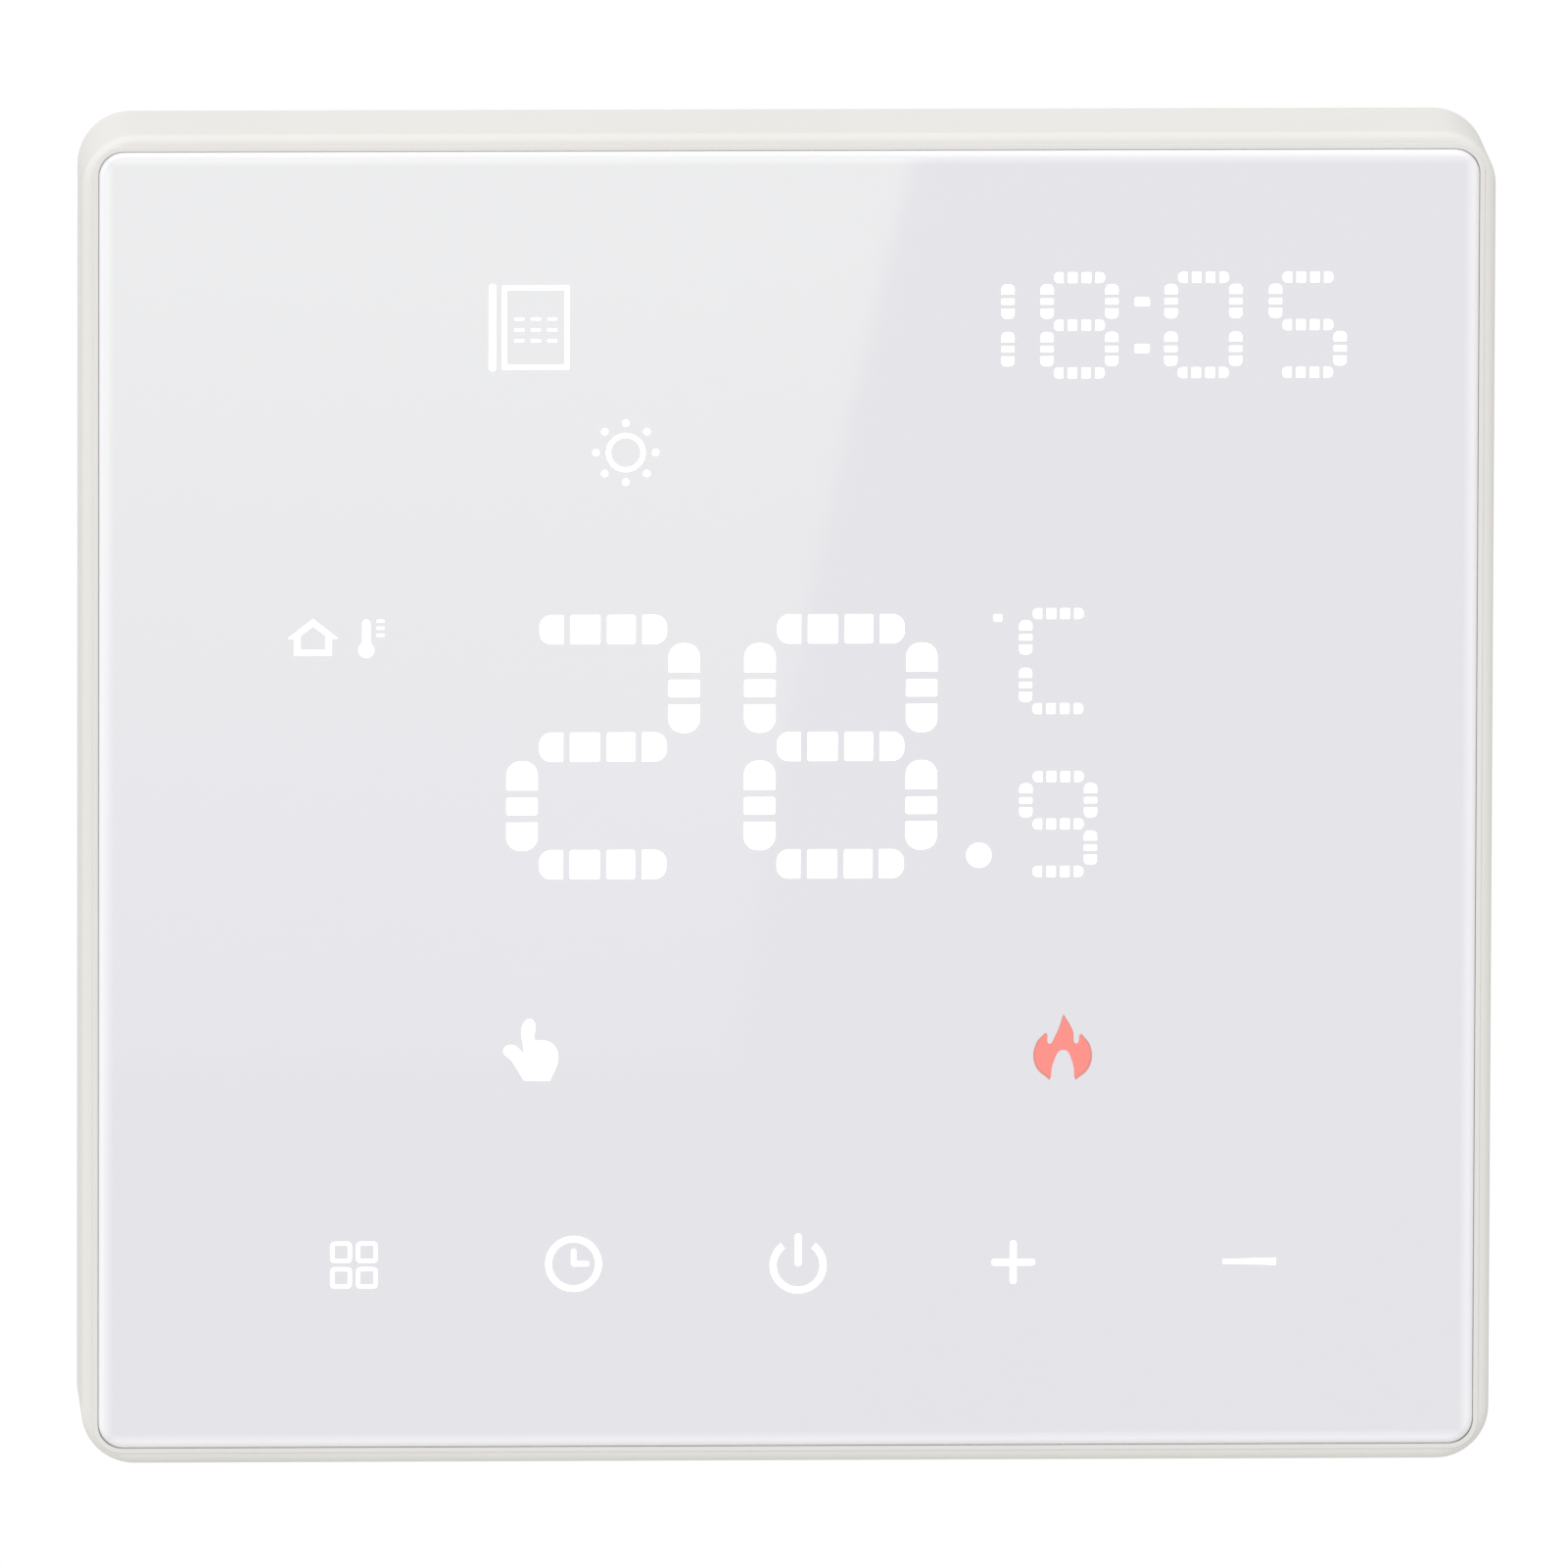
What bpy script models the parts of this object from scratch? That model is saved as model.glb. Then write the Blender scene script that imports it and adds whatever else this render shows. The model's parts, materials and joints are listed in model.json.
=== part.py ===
# Wall thermostat: a glass-fronted touch unit hooked on a wall unit with its power box in the wall.
# Metres, +Z up, the front faces -Y, and the wall is the plane y = 0. Origin: middle of that plane.

import math

import bmesh
import bpy
from mathutils import Matrix, Vector

mm = 0.001

# Driving sizes, first the front unit as seen on the wall
housing_width = 90.0 * mm
housing_height = 85.6 * mm
housing_wall = 1.6 * mm
housing_corner = 3.4 * mm
front_lip = 0.7 * mm
lip_round = 0.55 * mm
glass_proud = 0.25 * mm
glass_corner = 1.7 * mm
glass_chamfer = 0.35 * mm
skirt_to_wall = 1.0 * mm

# Layers between the wall and the glass, counted forwards from the wall
mounting_plate_thickness = 1.2 * mm
base_floor_thickness = 1.7 * mm
unit_gap = 0.6 * mm
cover_thickness = 1.5 * mm
component_room = 2.3 * mm
display_board_thickness = 1.2 * mm
mask_thickness = 1.8 * mm
diffuser_thickness = 0.2 * mm
glass_thickness = 1.6 * mm

# Clearances
gap = 0.3 * mm
rim_gap = 1.0 * mm
cover_gap = 1.6 * mm
through = 1.0 * mm

# Inside the front unit
ledge_width = 4.4 * mm
corner_land = 6.6 * mm
post_inset = 3.9 * mm
post_radius = 2.4 * mm
cover_rib = 1.2 * mm
board_overhang = 1.2 * mm
board_corner = 1.0 * mm
counterbore_depth = 0.9 * mm
counterbore_radius = 2.5 * mm

# Touch springs behind the glass
touch_count = 5
touch_side_inset = 11.2 * mm
touch_row_inset = 6.8 * mm
spring_radius = 3.2 * mm
spring_wire = 0.5 * mm
spring_turns = 2.25
spring_points_per_turn = 12
spring_room = 0.45 * mm

# Windows in the mask, one for each sign that can light up
digit_width = 12.3 * mm
digit_height = 17.0 * mm
digit_stroke = 2.0 * mm
digit_centres = (-11.9 * mm, 3.3 * mm)
digit_level = 3.2 * mm
small_digit_width = 5.0 * mm
small_digit_height = 6.85 * mm
small_digit_stroke = 0.9 * mm
small_digit_pitch = 6.65 * mm
segment_gap = 0.45 * mm
setpoint_place = (17.2 * mm, -1.9 * mm)
unit_place = (17.2 * mm, 8.7 * mm)
clock_side_inset = 5.7 * mm
clock_top_inset = 6.2 * mm
clock_colon_pitch = 7.9 * mm
colon_size = 1.0 * mm
colon_spread = 1.5 * mm
sign_radius = 2.2 * mm
sign_places = (
    (-10.4 * mm, 22.4 * mm),
    (-16.6 * mm, -16.2 * mm),
    (17.5 * mm, -16.1 * mm),
)
room_sign_inset = 9.8 * mm
room_sign_level = 10.4 * mm
room_sign_size = (7.6 * mm, 3.0 * mm)
week_sign_x = -16.4 * mm
week_sign_size = 5.4 * mm

# Hook beads on the base plate and the bars behind them
hook_radius = 0.8 * mm
hook_length = 8.0 * mm
hook_spacing = 44.0 * mm
hook_level = 0.1 * mm
hook_depth = 3.0 * mm
catch_thickness = 1.0 * mm
catch_length = 10.0 * mm
notch_depth = 1.0 * mm

# Openings in the bottom wall of the housing
vent_count = 6
vent_width = 1.4 * mm
vent_length = 4.0 * mm
vent_pitch = 3.2 * mm
vent_offset = 24.0 * mm
release_width = 6.0 * mm
release_height = 1.6 * mm

# Base plate
base_wall = 1.6 * mm
base_rim_height = 2.8 * mm
tongue_width = 8.0 * mm
tongue_height = 0.7 * mm
tongue_thickness = 1.0 * mm
screw_access_radius = 5.0 * mm

# Steel mounting plate and its screws to the wall box
plate_inset = 4.4 * mm
plate_corner = 3.0 * mm
plate_window_width = 36.0 * mm
plate_window_height = 48.0 * mm
seat_depth = 0.3 * mm
seat_margin = 1.0 * mm
wall_slot_length = 8.0 * mm
slot_roundness = 0.98
wall_screw_radius = 1.75 * mm
wall_screw_length = 25.0 * mm
wall_screw_head_radius = 3.4 * mm
wall_screw_head_height = 2.0 * mm
screw_slot_clearance = 0.2 * mm
screw_side_clearance = 2.4 * mm

# Power box behind the plate
box_width = 52.0 * mm
box_depth = 29.7 * mm
box_wall = 1.6 * mm
box_corner = 2.5 * mm
boss_radius = 2.7 * mm
boss_length = 12.0 * mm
boss_overlap = 0.8 * mm
box_screw_radius = 1.25 * mm
box_screw_length = 9.0 * mm
box_screw_head_radius = 2.5 * mm
box_screw_head_height = 1.25 * mm
terminal_step_level = -11.5 * mm
box_vent_count = 5
box_vent_width = 1.6 * mm
box_vent_length = 10.0 * mm
box_vent_pitch = 5.0 * mm
rest_length = 8.0 * mm
rest_thickness = 2.0 * mm
rest_reach = 0.9 * mm
rest_level = 8.0 * mm

# Power board and the link between the two boards
power_board_front = 3.0 * mm
power_board_thickness = 1.6 * mm
link_level = -20.0 * mm
link_pins = 8
link_pitch = 2.54 * mm
link_pin = 0.64 * mm
link_pin_reach = 1.5 * mm
link_block_depth = 2.7 * mm
link_play = 0.5 * mm
socket_front = -1.0 * mm
socket_wall = 1.6 * mm

# Cover screws
cover_screw_radius = 1.1 * mm
cover_screw_length = 5.0 * mm
cover_screw_head_radius = 2.1 * mm
cover_screw_head_height = 0.7 * mm

# Proportions shared by all the screws
head_round_share = 0.35
countersunk_edge_share = 0.15
tip_share = 0.3
cross_reach_share = 0.55
slot_reach_share = 1.2
slot_width_share = 0.22
slot_depth_share = 0.5

# Terminal block
pole_count = 6
pole_pitch = 7.5 * mm
terminal_end_wall = 0.6 * mm
terminal_depth = 13.0 * mm
terminal_height = 13.3 * mm
terminal_top_gap = 0.7 * mm
terminal_front_wall = 1.5 * mm
terminal_back_wall = 2.3 * mm
terminal_top_wall = 2.2 * mm
terminal_bottom_wall = 1.2 * mm
wire_entry = 3.4 * mm
clamp_width = 5.0 * mm
clamp_depth = 6.0 * mm
clamp_height = 5.2 * mm
clamp_side = 0.7 * mm
clamp_jaw = 1.1 * mm
clamp_travel = 2.0 * mm
terminal_screw_radius = 1.2 * mm
terminal_screw_head_radius = 1.75 * mm
terminal_screw_head_height = 1.3 * mm
terminal_lip = 0.5 * mm

# Relay
relay_place = (-9.0 * mm, 12.0 * mm)
relay_width = 19.0 * mm
relay_height = 15.5 * mm
relay_base_thickness = 1.8 * mm
relay_case_depth = 13.3 * mm
relay_wall = 0.8 * mm
relay_coil_offset = -2.5 * mm
relay_coil_radius = 4.2 * mm
relay_flange_radius = 4.6 * mm
relay_flange = 0.8 * mm
relay_coil_length = 7.4 * mm
relay_core_radius = 2.5 * mm
relay_core_tip = 0.6 * mm
relay_yoke_thickness = 1.0 * mm
relay_yoke_width = 8.0 * mm
relay_upright_offset = 4.6 * mm
relay_armature_gap = 0.7 * mm
relay_armature_thickness = 0.9 * mm
relay_armature_length = 12.0 * mm
relay_blade_thickness = 0.2 * mm
relay_blade_width = 3.0 * mm
relay_contact_radius = 0.5 * mm
relay_contact_gap = 1.0 * mm

# Transformer and the small parts on the power board
transformer_place = (11.5 * mm, 13.0 * mm)
core_width = 16.0 * mm
core_height = 6.0 * mm
core_depth = 14.0 * mm
core_leg = 4.0 * mm
core_side_leg = 2.4 * mm
core_standoff = 1.6 * mm
winding_height = 13.0 * mm
filter_place = (-13.5 * mm, -4.3 * mm)
filter_radius = 4.0 * mm
filter_length = 12.1 * mm
filter_round = 0.5 * mm
suppressor_place = (1.0 * mm, -4.5 * mm)
suppressor_size = (13.0 * mm, 12.0 * mm, 6.0 * mm)
varistor_place = (12.8 * mm, -4.5 * mm)
varistor_radius = 4.0 * mm
varistor_thickness = 3.6 * mm
varistor_standoff = 1.5 * mm
fuse_place = (16.0 * mm, 1.8 * mm)
fuse_radius = 3.4 * mm
fuse_length = 6.5 * mm

# Small parts on the display board
chip_place = (-14.0 * mm, 5.0 * mm)
chip_size = (10.0 * mm, 1.4 * mm, 10.0 * mm)
driver_place = (14.0 * mm, 6.0 * mm)
driver_size = (12.0 * mm, 1.5 * mm, 6.0 * mm)
buzzer_place = (22.0 * mm, -14.0 * mm)
buzzer_size = (9.0 * mm, 1.6 * mm, 9.0 * mm)
buzzer_hole_radius = 1.1 * mm
backup_place = (-22.0 * mm, -13.0 * mm)
backup_radius = 4.0 * mm
backup_thickness = 1.6 * mm
sensor_inset = (8.0 * mm, 5.0 * mm)
sensor_radius = 0.7 * mm
sensor_length = 3.0 * mm

# Places that follow from the sizes
mounting_plate_front = -mounting_plate_thickness
base_floor_rear = mounting_plate_front - gap
base_floor_front = base_floor_rear - base_floor_thickness
base_rim_front = base_floor_front - base_rim_height
cover_rear = base_floor_front - unit_gap
cover_front = cover_rear - cover_thickness
display_board_rear = cover_front - component_room
display_board_front = display_board_rear - display_board_thickness
mask_rear = display_board_front - gap
mask_front = mask_rear - mask_thickness
diffuser_rear = mask_front - gap
diffuser_front = diffuser_rear - diffuser_thickness
glass_rear = diffuser_front - gap
glass_front = glass_rear - glass_thickness
lip_front = glass_front + glass_proud
ledge_front = glass_rear + gap
ledge_rear = display_board_front - gap
skirt_rear = -skirt_to_wall
component_front = display_board_rear + gap
post_end = cover_front - gap

glass_half_x = housing_width / 2 - front_lip - gap
glass_half_z = housing_height / 2 - front_lip - gap
inner_half_x = housing_width / 2 - housing_wall
inner_half_z = housing_height / 2 - housing_wall
window_half_x = inner_half_x - ledge_width
window_half_z = inner_half_z - ledge_width
post_x = window_half_x - post_inset
post_z = window_half_z - post_inset
base_half_x = inner_half_x - rim_gap
base_half_z = inner_half_z - rim_gap
cover_half_x = base_half_x - base_wall - cover_gap
cover_half_z = base_half_z - base_wall - cover_gap
plate_half_x = base_half_x - plate_inset
plate_half_z = base_half_z - plate_inset
box_half = box_width / 2
wall_screw_pitch = box_width + 2 * (wall_screw_radius + screw_side_clearance)
box_inner = box_half - box_wall
box_floor = box_depth - box_wall
step_inner = terminal_step_level + box_wall
power_board_rear = power_board_front + power_board_thickness
part_front = power_board_rear + gap

hinge_y = -hook_depth
hinge_z = base_half_z - hook_level
boss_places = [
    (side * (box_inner - boss_radius + boss_overlap), level)
    for side in (-1, 1)
    for level in (
        box_inner - boss_radius + boss_overlap,
        step_inner + boss_radius - boss_overlap,
    )
]
post_places = [(side * post_x, end * post_z) for side in (-1, 1) for end in (-1, 1)]
touch_pitch = 2 * (window_half_x - touch_side_inset) / (touch_count - 1)
touch_level = -window_half_z + touch_row_inset
touch_places = [
    ((index - (touch_count - 1) / 2) * touch_pitch, touch_level) for index in range(touch_count)
]
pole_places = [(index - (pole_count - 1) / 2) * pole_pitch for index in range(pole_count)]
terminal_top = terminal_step_level - terminal_top_gap
terminal_bottom = terminal_top - terminal_height
terminal_rear = part_front + terminal_depth
clamp_room_front = part_front + terminal_front_wall
clamp_room_rear = terminal_rear - terminal_back_wall
clamp_room_top = terminal_top - terminal_top_wall
clamp_room_bottom = terminal_bottom + terminal_bottom_wall
clamp_level = (clamp_room_top + clamp_room_bottom) / 2
clamp_front = clamp_room_front + gap

# Scene and helpers
for old in list(bpy.data.objects):
    bpy.data.objects.remove(old)

parts = bpy.data.collections.new("wall_thermostat")
cutters = bpy.data.collections.new("cutters")
bpy.context.scene.collection.children.link(parts)
bpy.context.scene.collection.children.link(cutters)


def surface(name, color, roughness, metallic=0.0):
    """A plain Principled material."""
    made = bpy.data.materials.new(name)
    made.use_nodes = True
    made.diffuse_color = (*color, 1.0)
    shader = made.node_tree.nodes["Principled BSDF"]
    shader.inputs["Base Color"].default_value = (*color, 1.0)
    shader.inputs["Roughness"].default_value = roughness
    shader.inputs["Metallic"].default_value = metallic
    return made


white_glass = surface("white_glass", (0.80, 0.79, 0.83), 0.08)
white_plastic = surface("white_plastic", (0.76, 0.74, 0.70), 0.42)
grey_plastic = surface("grey_plastic", (0.60, 0.60, 0.59), 0.5)
black_plastic = surface("black_plastic", (0.03, 0.03, 0.032), 0.45)
blue_plastic = surface("blue_plastic", (0.03, 0.12, 0.42), 0.4)
green_plastic = surface("green_plastic", (0.03, 0.26, 0.10), 0.45)
yellow_plastic = surface("yellow_plastic", (0.72, 0.47, 0.05), 0.45)
film = surface("film", (0.86, 0.86, 0.86), 0.5)
board_green = surface("board_green", (0.02, 0.20, 0.08), 0.35)
zinc_steel = surface("zinc_steel", (0.62, 0.62, 0.60), 0.35, 1.0)
screw_steel = surface("screw_steel", (0.70, 0.69, 0.67), 0.3, 1.0)
spring_steel = surface("spring_steel", (0.78, 0.66, 0.42), 0.28, 1.0)
brass = surface("brass", (0.78, 0.57, 0.26), 0.3, 1.0)
copper = surface("copper", (0.74, 0.36, 0.20), 0.4, 1.0)
ferrite = surface("ferrite", (0.06, 0.06, 0.062), 0.6)
ceramic = surface("ceramic", (0.02, 0.13, 0.34), 0.35)
sleeve = surface("sleeve", (0.03, 0.04, 0.08), 0.4)


def add_slab(bm, xs, ys, zs, corner=0.0, steps=3):
    """Add a box between two planes on each axis, with its four edges along Y rounded."""
    size = [high - low for low, high in (xs, ys, zs)]
    middle = [(high + low) / 2 for low, high in (xs, ys, zs)]
    matrix = Matrix.Translation(middle) @ Matrix.Diagonal((*size, 1.0))
    corners = bmesh.ops.create_cube(bm, size=1.0, matrix=matrix)["verts"]
    if corner > 0:
        upright = [
            edge
            for edge in bm.edges
            if edge.verts[0] in corners and abs(edge.verts[0].co.y - edge.verts[1].co.y) > size[1] / 2
        ]
        bmesh.ops.bevel(
            bm, geom=upright, offset=corner, segments=steps, profile=0.5, affect="EDGES"
        )


def add_rod(bm, start, end, radius, end_radius=None, steps=16):
    """Add a cylinder or cone between two points."""
    line = Vector(end) - Vector(start)
    turn = line.to_track_quat("Z", "Y").to_matrix().to_4x4()
    matrix = Matrix.Translation((Vector(start) + Vector(end)) / 2) @ turn
    bmesh.ops.create_cone(
        bm,
        cap_ends=True,
        segments=steps,
        radius1=radius,
        radius2=radius if end_radius is None else end_radius,
        depth=line.length,
        matrix=matrix,
    )


def add_pin(bm, place, ys, radius, end_radius=None, steps=16):
    """Add a cylinder or cone along Y at a place (x, z)."""
    add_rod(bm, (place[0], ys[0], place[1]), (place[0], ys[1], place[1]), radius, end_radius, steps)


def round_end(bm, y, amount, steps):
    """Round the outline of the flat end that lies at y."""
    outline = [edge for edge in bm.edges if all(abs(v.co.y - y) < 1e-7 for v in edge.verts)]
    bmesh.ops.bevel(bm, geom=outline, offset=amount, segments=steps, profile=0.5, affect="EDGES")


def centred(half, middle=0.0):
    """The two planes at half either side of a middle."""
    return (middle - half, middle + half)


def mesh_from(name, bm):
    mesh = bpy.data.meshes.new(name)
    bm.to_mesh(mesh)
    bm.free()
    mesh.shade_smooth()
    mesh.set_sharp_from_angle(angle=math.radians(35))
    return mesh


def place_piece(name, mesh, material, parent=None, location=(0, 0, 0), rotation=(0, 0, 0)):
    """A named piece in the parts collection; a parent empty holds it without moving it."""
    piece = bpy.data.objects.new(name, mesh)
    if not mesh.materials:
        mesh.materials.append(material)
    parts.objects.link(piece)
    piece.location = location
    piece.rotation_euler = rotation
    if parent:
        piece.parent = parent
        piece.matrix_parent_inverse = Matrix.Translation(parent.location).inverted()
    return piece


def new_piece(name, bm, material, parent=None):
    return place_piece(name, mesh_from(name, bm), material, parent)


def combine(piece, operation, label, bm):
    """Cut or join a piece with a helper solid that the part itself leaves out."""
    helper = bpy.data.objects.new(f"{piece.name}_{label}", mesh_from(label, bm))
    cutters.objects.link(helper)
    helper.display_type = "WIRE"
    helper.hide_render = True
    modifier = piece.modifiers.new(label, "BOOLEAN")
    modifier.operation = operation
    modifier.solver = "EXACT"
    modifier.object = helper


def cut(piece, label, bm):
    combine(piece, "DIFFERENCE", label, bm)


def join(piece, label, bm):
    combine(piece, "UNION", label, bm)


def settled_mesh(piece):
    """The finished mesh of a template piece, whose object and helpers are then removed."""
    graph = bpy.context.evaluated_depsgraph_get()
    mesh = bpy.data.meshes.new_from_object(piece.evaluated_get(graph))
    helpers = [modifier.object for modifier in piece.modifiers if modifier.type == "BOOLEAN"]
    for used in [piece, *helpers]:
        bpy.data.objects.remove(used)
    mesh.shade_smooth()
    mesh.set_sharp_from_angle(angle=math.radians(35))
    return mesh


def turned_piece(name, profile, steps, material):
    """A template turned round local Z; the profile (radius, height) runs from top to bottom."""
    mesh = bpy.data.meshes.new(name)
    points = [(radius, 0.0, height) for radius, height in profile]
    lines = [(index, index + 1) for index in range(len(points) - 1)]
    mesh.from_pydata(points, lines, [])
    piece = place_piece(name, mesh, material)
    turn = piece.modifiers.new("turn", "SCREW")
    turn.steps = steps
    turn.render_steps = steps
    turn.use_merge_vertices = True
    turn.merge_threshold = 1e-6
    return piece


def screw_mesh(name, head_radius, head_height, shank_radius, length, countersunk=False, cross=True):
    """A screw along local Z with its head up and the shank below z = 0."""
    edge = head_height * (countersunk_edge_share if countersunk else head_round_share)
    profile = [
        (0.0, head_height),
        (head_radius - edge / 2, head_height),
        (head_radius, head_height - edge),
    ]
    if not countersunk:
        profile.append((head_radius, 0.0))
    profile += [
        (shank_radius, 0.0),
        (shank_radius, -length + shank_radius),
        (shank_radius * tip_share, -length),
        (0.0, -length),
    ]
    piece = turned_piece(name, profile, 12, screw_steel)
    long_half = head_radius * (cross_reach_share if cross else slot_reach_share)
    slot_half = head_radius * slot_width_share / 2
    slot_floor = head_height * (1 - slot_depth_share)
    for angle in (0, 90) if cross else (0,):
        bm = bmesh.new()
        slot_z = (slot_floor, head_height + through)
        add_slab(bm, centred(long_half), centred(slot_half), slot_z)
        bmesh.ops.rotate(bm, verts=bm.verts, matrix=Matrix.Rotation(math.radians(angle), 3, "Z"))
        cut(piece, f"slot_{angle}", bm)
    return settled_mesh(piece)


# Front unit
front_axis = bpy.data.objects.new("front_swing_axis", None)
front_axis.location = (0, hinge_y, hinge_z)
parts.objects.link(front_axis)


def front_panel():
    bm = bmesh.new()
    add_slab(
        bm, centred(glass_half_x), (glass_front, glass_rear), centred(glass_half_z), glass_corner
    )
    round_end(bm, glass_front, glass_chamfer, 2)
    new_piece("front_panel", bm, white_glass, front_axis)


def front_housing():
    bm = bmesh.new()
    outer_x = centred(housing_width / 2)
    outer_z = centred(housing_height / 2)
    add_slab(bm, outer_x, (lip_front, skirt_rear), outer_z, housing_corner, 5)
    round_end(bm, lip_front, lip_round, 2)
    housing = new_piece("front_housing", bm, white_plastic, front_axis)

    pocket = bmesh.new()
    pocket_x = centred(glass_half_x + gap)
    pocket_z = centred(glass_half_z + gap)
    add_slab(pocket, pocket_x, (lip_front - through, ledge_front), pocket_z, glass_corner + gap)
    cut(housing, "glass_pocket", pocket)

    cavity = bmesh.new()
    add_slab(
        cavity,
        centred(inner_half_x),
        (ledge_rear, skirt_rear + through),
        centred(inner_half_z),
        housing_corner - housing_wall,
    )
    cut(housing, "rear_cavity", cavity)

    window_y = (ledge_front - through, ledge_rear + through)
    wide = bmesh.new()
    add_slab(wide, centred(window_half_x), window_y, centred(window_half_z - corner_land))
    cut(housing, "window_wide", wide)
    tall = bmesh.new()
    add_slab(tall, centred(window_half_x - corner_land), window_y, centred(window_half_z))
    cut(housing, "window_tall", tall)

    posts = bmesh.new()
    holes = bmesh.new()
    for place in post_places:
        add_pin(posts, place, (ledge_rear - mask_thickness / 2, post_end), post_radius)
        add_pin(holes, place, (ledge_rear - mask_thickness / 2, post_end + through),
                cover_screw_radius + gap)
    join(housing, "posts", posts)
    cut(housing, "post_holes", holes)

    bars = bmesh.new()
    bar_front = hinge_y + hook_radius + gap
    for side in (-1, 1):
        add_slab(
            bars,
            centred(catch_length / 2, side * hook_spacing / 2),
            (bar_front, bar_front + catch_thickness),
            (hinge_z + gap, inner_half_z + housing_wall / 2),
        )
    join(housing, "catch_bars", bars)

    vents = bmesh.new()
    floor_z = (-housing_height / 2 - through, -inner_half_z + through)
    vent_middle = (ledge_rear + base_rim_front) / 2
    for side in (-1, 1):
        for index in range(vent_count):
            x = side * vent_offset + (index - (vent_count - 1) / 2) * vent_pitch
            add_slab(
                vents, centred(vent_width / 2, x), centred(vent_length / 2, vent_middle), floor_z
            )
    add_slab(
        vents, centred(release_width / 2), centred(release_height / 2, base_floor_front), floor_z
    )
    cut(housing, "bottom_slots", vents)


def light_sheet(name, ys, material):
    """A sheet in the housing's window, notched at its corners and holed for the touch springs."""
    half_x = window_half_x - gap
    half_z = window_half_z - gap
    bm = bmesh.new()
    add_slab(bm, centred(half_x), ys, centred(half_z))
    sheet = new_piece(name, bm, material, front_axis)
    notches = bmesh.new()
    notch_y = (ys[0] - through, ys[1] + through)
    for side in (-1, 1):
        for end in (-1, 1):
            x = side * (window_half_x - corner_land / 2 + through / 2)
            z = end * (window_half_z - corner_land / 2 + through / 2)
            half = (corner_land + through) / 2 + gap
            add_slab(notches, centred(half, x), notch_y, centred(half, z))
    cut(sheet, "corner_notches", notches)
    holes = bmesh.new()
    for place in touch_places:
        add_pin(holes, place, notch_y, spring_radius + spring_wire / 2 + spring_room)
    cut(sheet, "spring_holes", holes)
    return sheet


def add_digit(bm, middle, width, height, stroke, ys):
    """Add the seven bars of one digit."""
    x, z = middle
    bar = width / 2 - stroke - segment_gap / 2
    column = height / 4 - stroke * 0.75 - segment_gap / 2
    for level in (-1, 0, 1):
        add_slab(bm, centred(bar, x), ys, centred(stroke / 2, z + level * (height - stroke) / 2))
    for side in (-1, 1):
        for end in (-1, 1):
            add_slab(
                bm,
                centred(stroke / 2, x + side * (width - stroke) / 2),
                ys,
                centred(column, z + end * (height - stroke) / 4),
            )


def segment_mask():
    mask = light_sheet("segment_mask", (mask_front, mask_rear), black_plastic)
    ys = (mask_front - through, mask_rear + through)
    digits = bmesh.new()
    for x in digit_centres:
        add_digit(digits, (x, digit_level), digit_width, digit_height, digit_stroke, ys)
    small = (small_digit_width, small_digit_height, small_digit_stroke, ys)
    add_digit(digits, setpoint_place, *small)
    add_digit(digits, unit_place, *small)
    clock_z = window_half_z - clock_top_inset
    last_x = window_half_x - clock_side_inset
    third_x = last_x - small_digit_pitch
    second_x = third_x - clock_colon_pitch
    for x in (last_x, third_x, second_x, second_x - small_digit_pitch):
        add_digit(digits, (x, clock_z), *small)
    for end in (-1, 1):
        add_slab(
            digits,
            centred(colon_size / 2, (third_x + second_x) / 2),
            ys,
            centred(colon_size / 2, clock_z + end * colon_spread),
        )
    cut(mask, "digits", digits)
    signs = bmesh.new()
    for place in sign_places:
        add_pin(signs, place, ys, sign_radius)
    room_x = -window_half_x + room_sign_inset
    room_width, room_height = room_sign_size
    add_slab(signs, centred(room_width / 2, room_x), ys, centred(room_height / 2, room_sign_level))
    add_slab(
        signs, centred(week_sign_size / 2, week_sign_x), ys, centred(week_sign_size / 2, clock_z)
    )
    cut(mask, "signs", signs)


def display_board():
    bm = bmesh.new()
    half_x = window_half_x + board_overhang
    half_z = window_half_z + board_overhang
    add_slab(bm, centred(half_x), (display_board_front, display_board_rear), centred(half_z),
             board_corner)
    board = new_piece("display_board", bm, board_green, front_axis)
    holes = bmesh.new()
    hole_y = (display_board_front - through, display_board_rear + through)
    for place in post_places:
        add_pin(holes, place, hole_y, post_radius + gap)
    cut(board, "post_holes", holes)


def touch_springs():
    """A short open coil behind each touch sign, from the display board to the glass."""
    curve = bpy.data.curves.new("touch_spring", "CURVE")
    curve.dimensions = "3D"
    curve.bevel_depth = spring_wire / 2
    curve.bevel_resolution = 2
    curve.use_fill_caps = True
    count = int(spring_turns * spring_points_per_turn) + 1
    low = display_board_front - gap - spring_wire / 2
    rise = glass_rear + gap + spring_wire / 2 - low
    line = curve.splines.new("POLY")
    line.points.add(count - 1)
    for index, point in enumerate(line.points):
        angle = 2 * math.pi * index / spring_points_per_turn
        height = low + rise * index / (count - 1)
        point.co = (spring_radius * math.cos(angle), height, spring_radius * math.sin(angle), 1)
    template = bpy.data.objects.new("touch_spring", curve)
    parts.objects.link(template)
    mesh = settled_mesh(template)
    bpy.data.curves.remove(curve)
    bm = bmesh.new()
    bm.from_mesh(mesh)
    bmesh.ops.remove_doubles(bm, verts=bm.verts, dist=1e-6)
    bmesh.ops.recalc_face_normals(bm, faces=bm.faces)
    bm.to_mesh(mesh)
    bm.free()
    names = ("menu", "clock", "power", "plus", "minus")
    for name, (x, z) in zip(names, touch_places):
        place_piece(f"touch_spring_{name}", mesh, spring_steel, front_axis, (x, 0, z))


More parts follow.
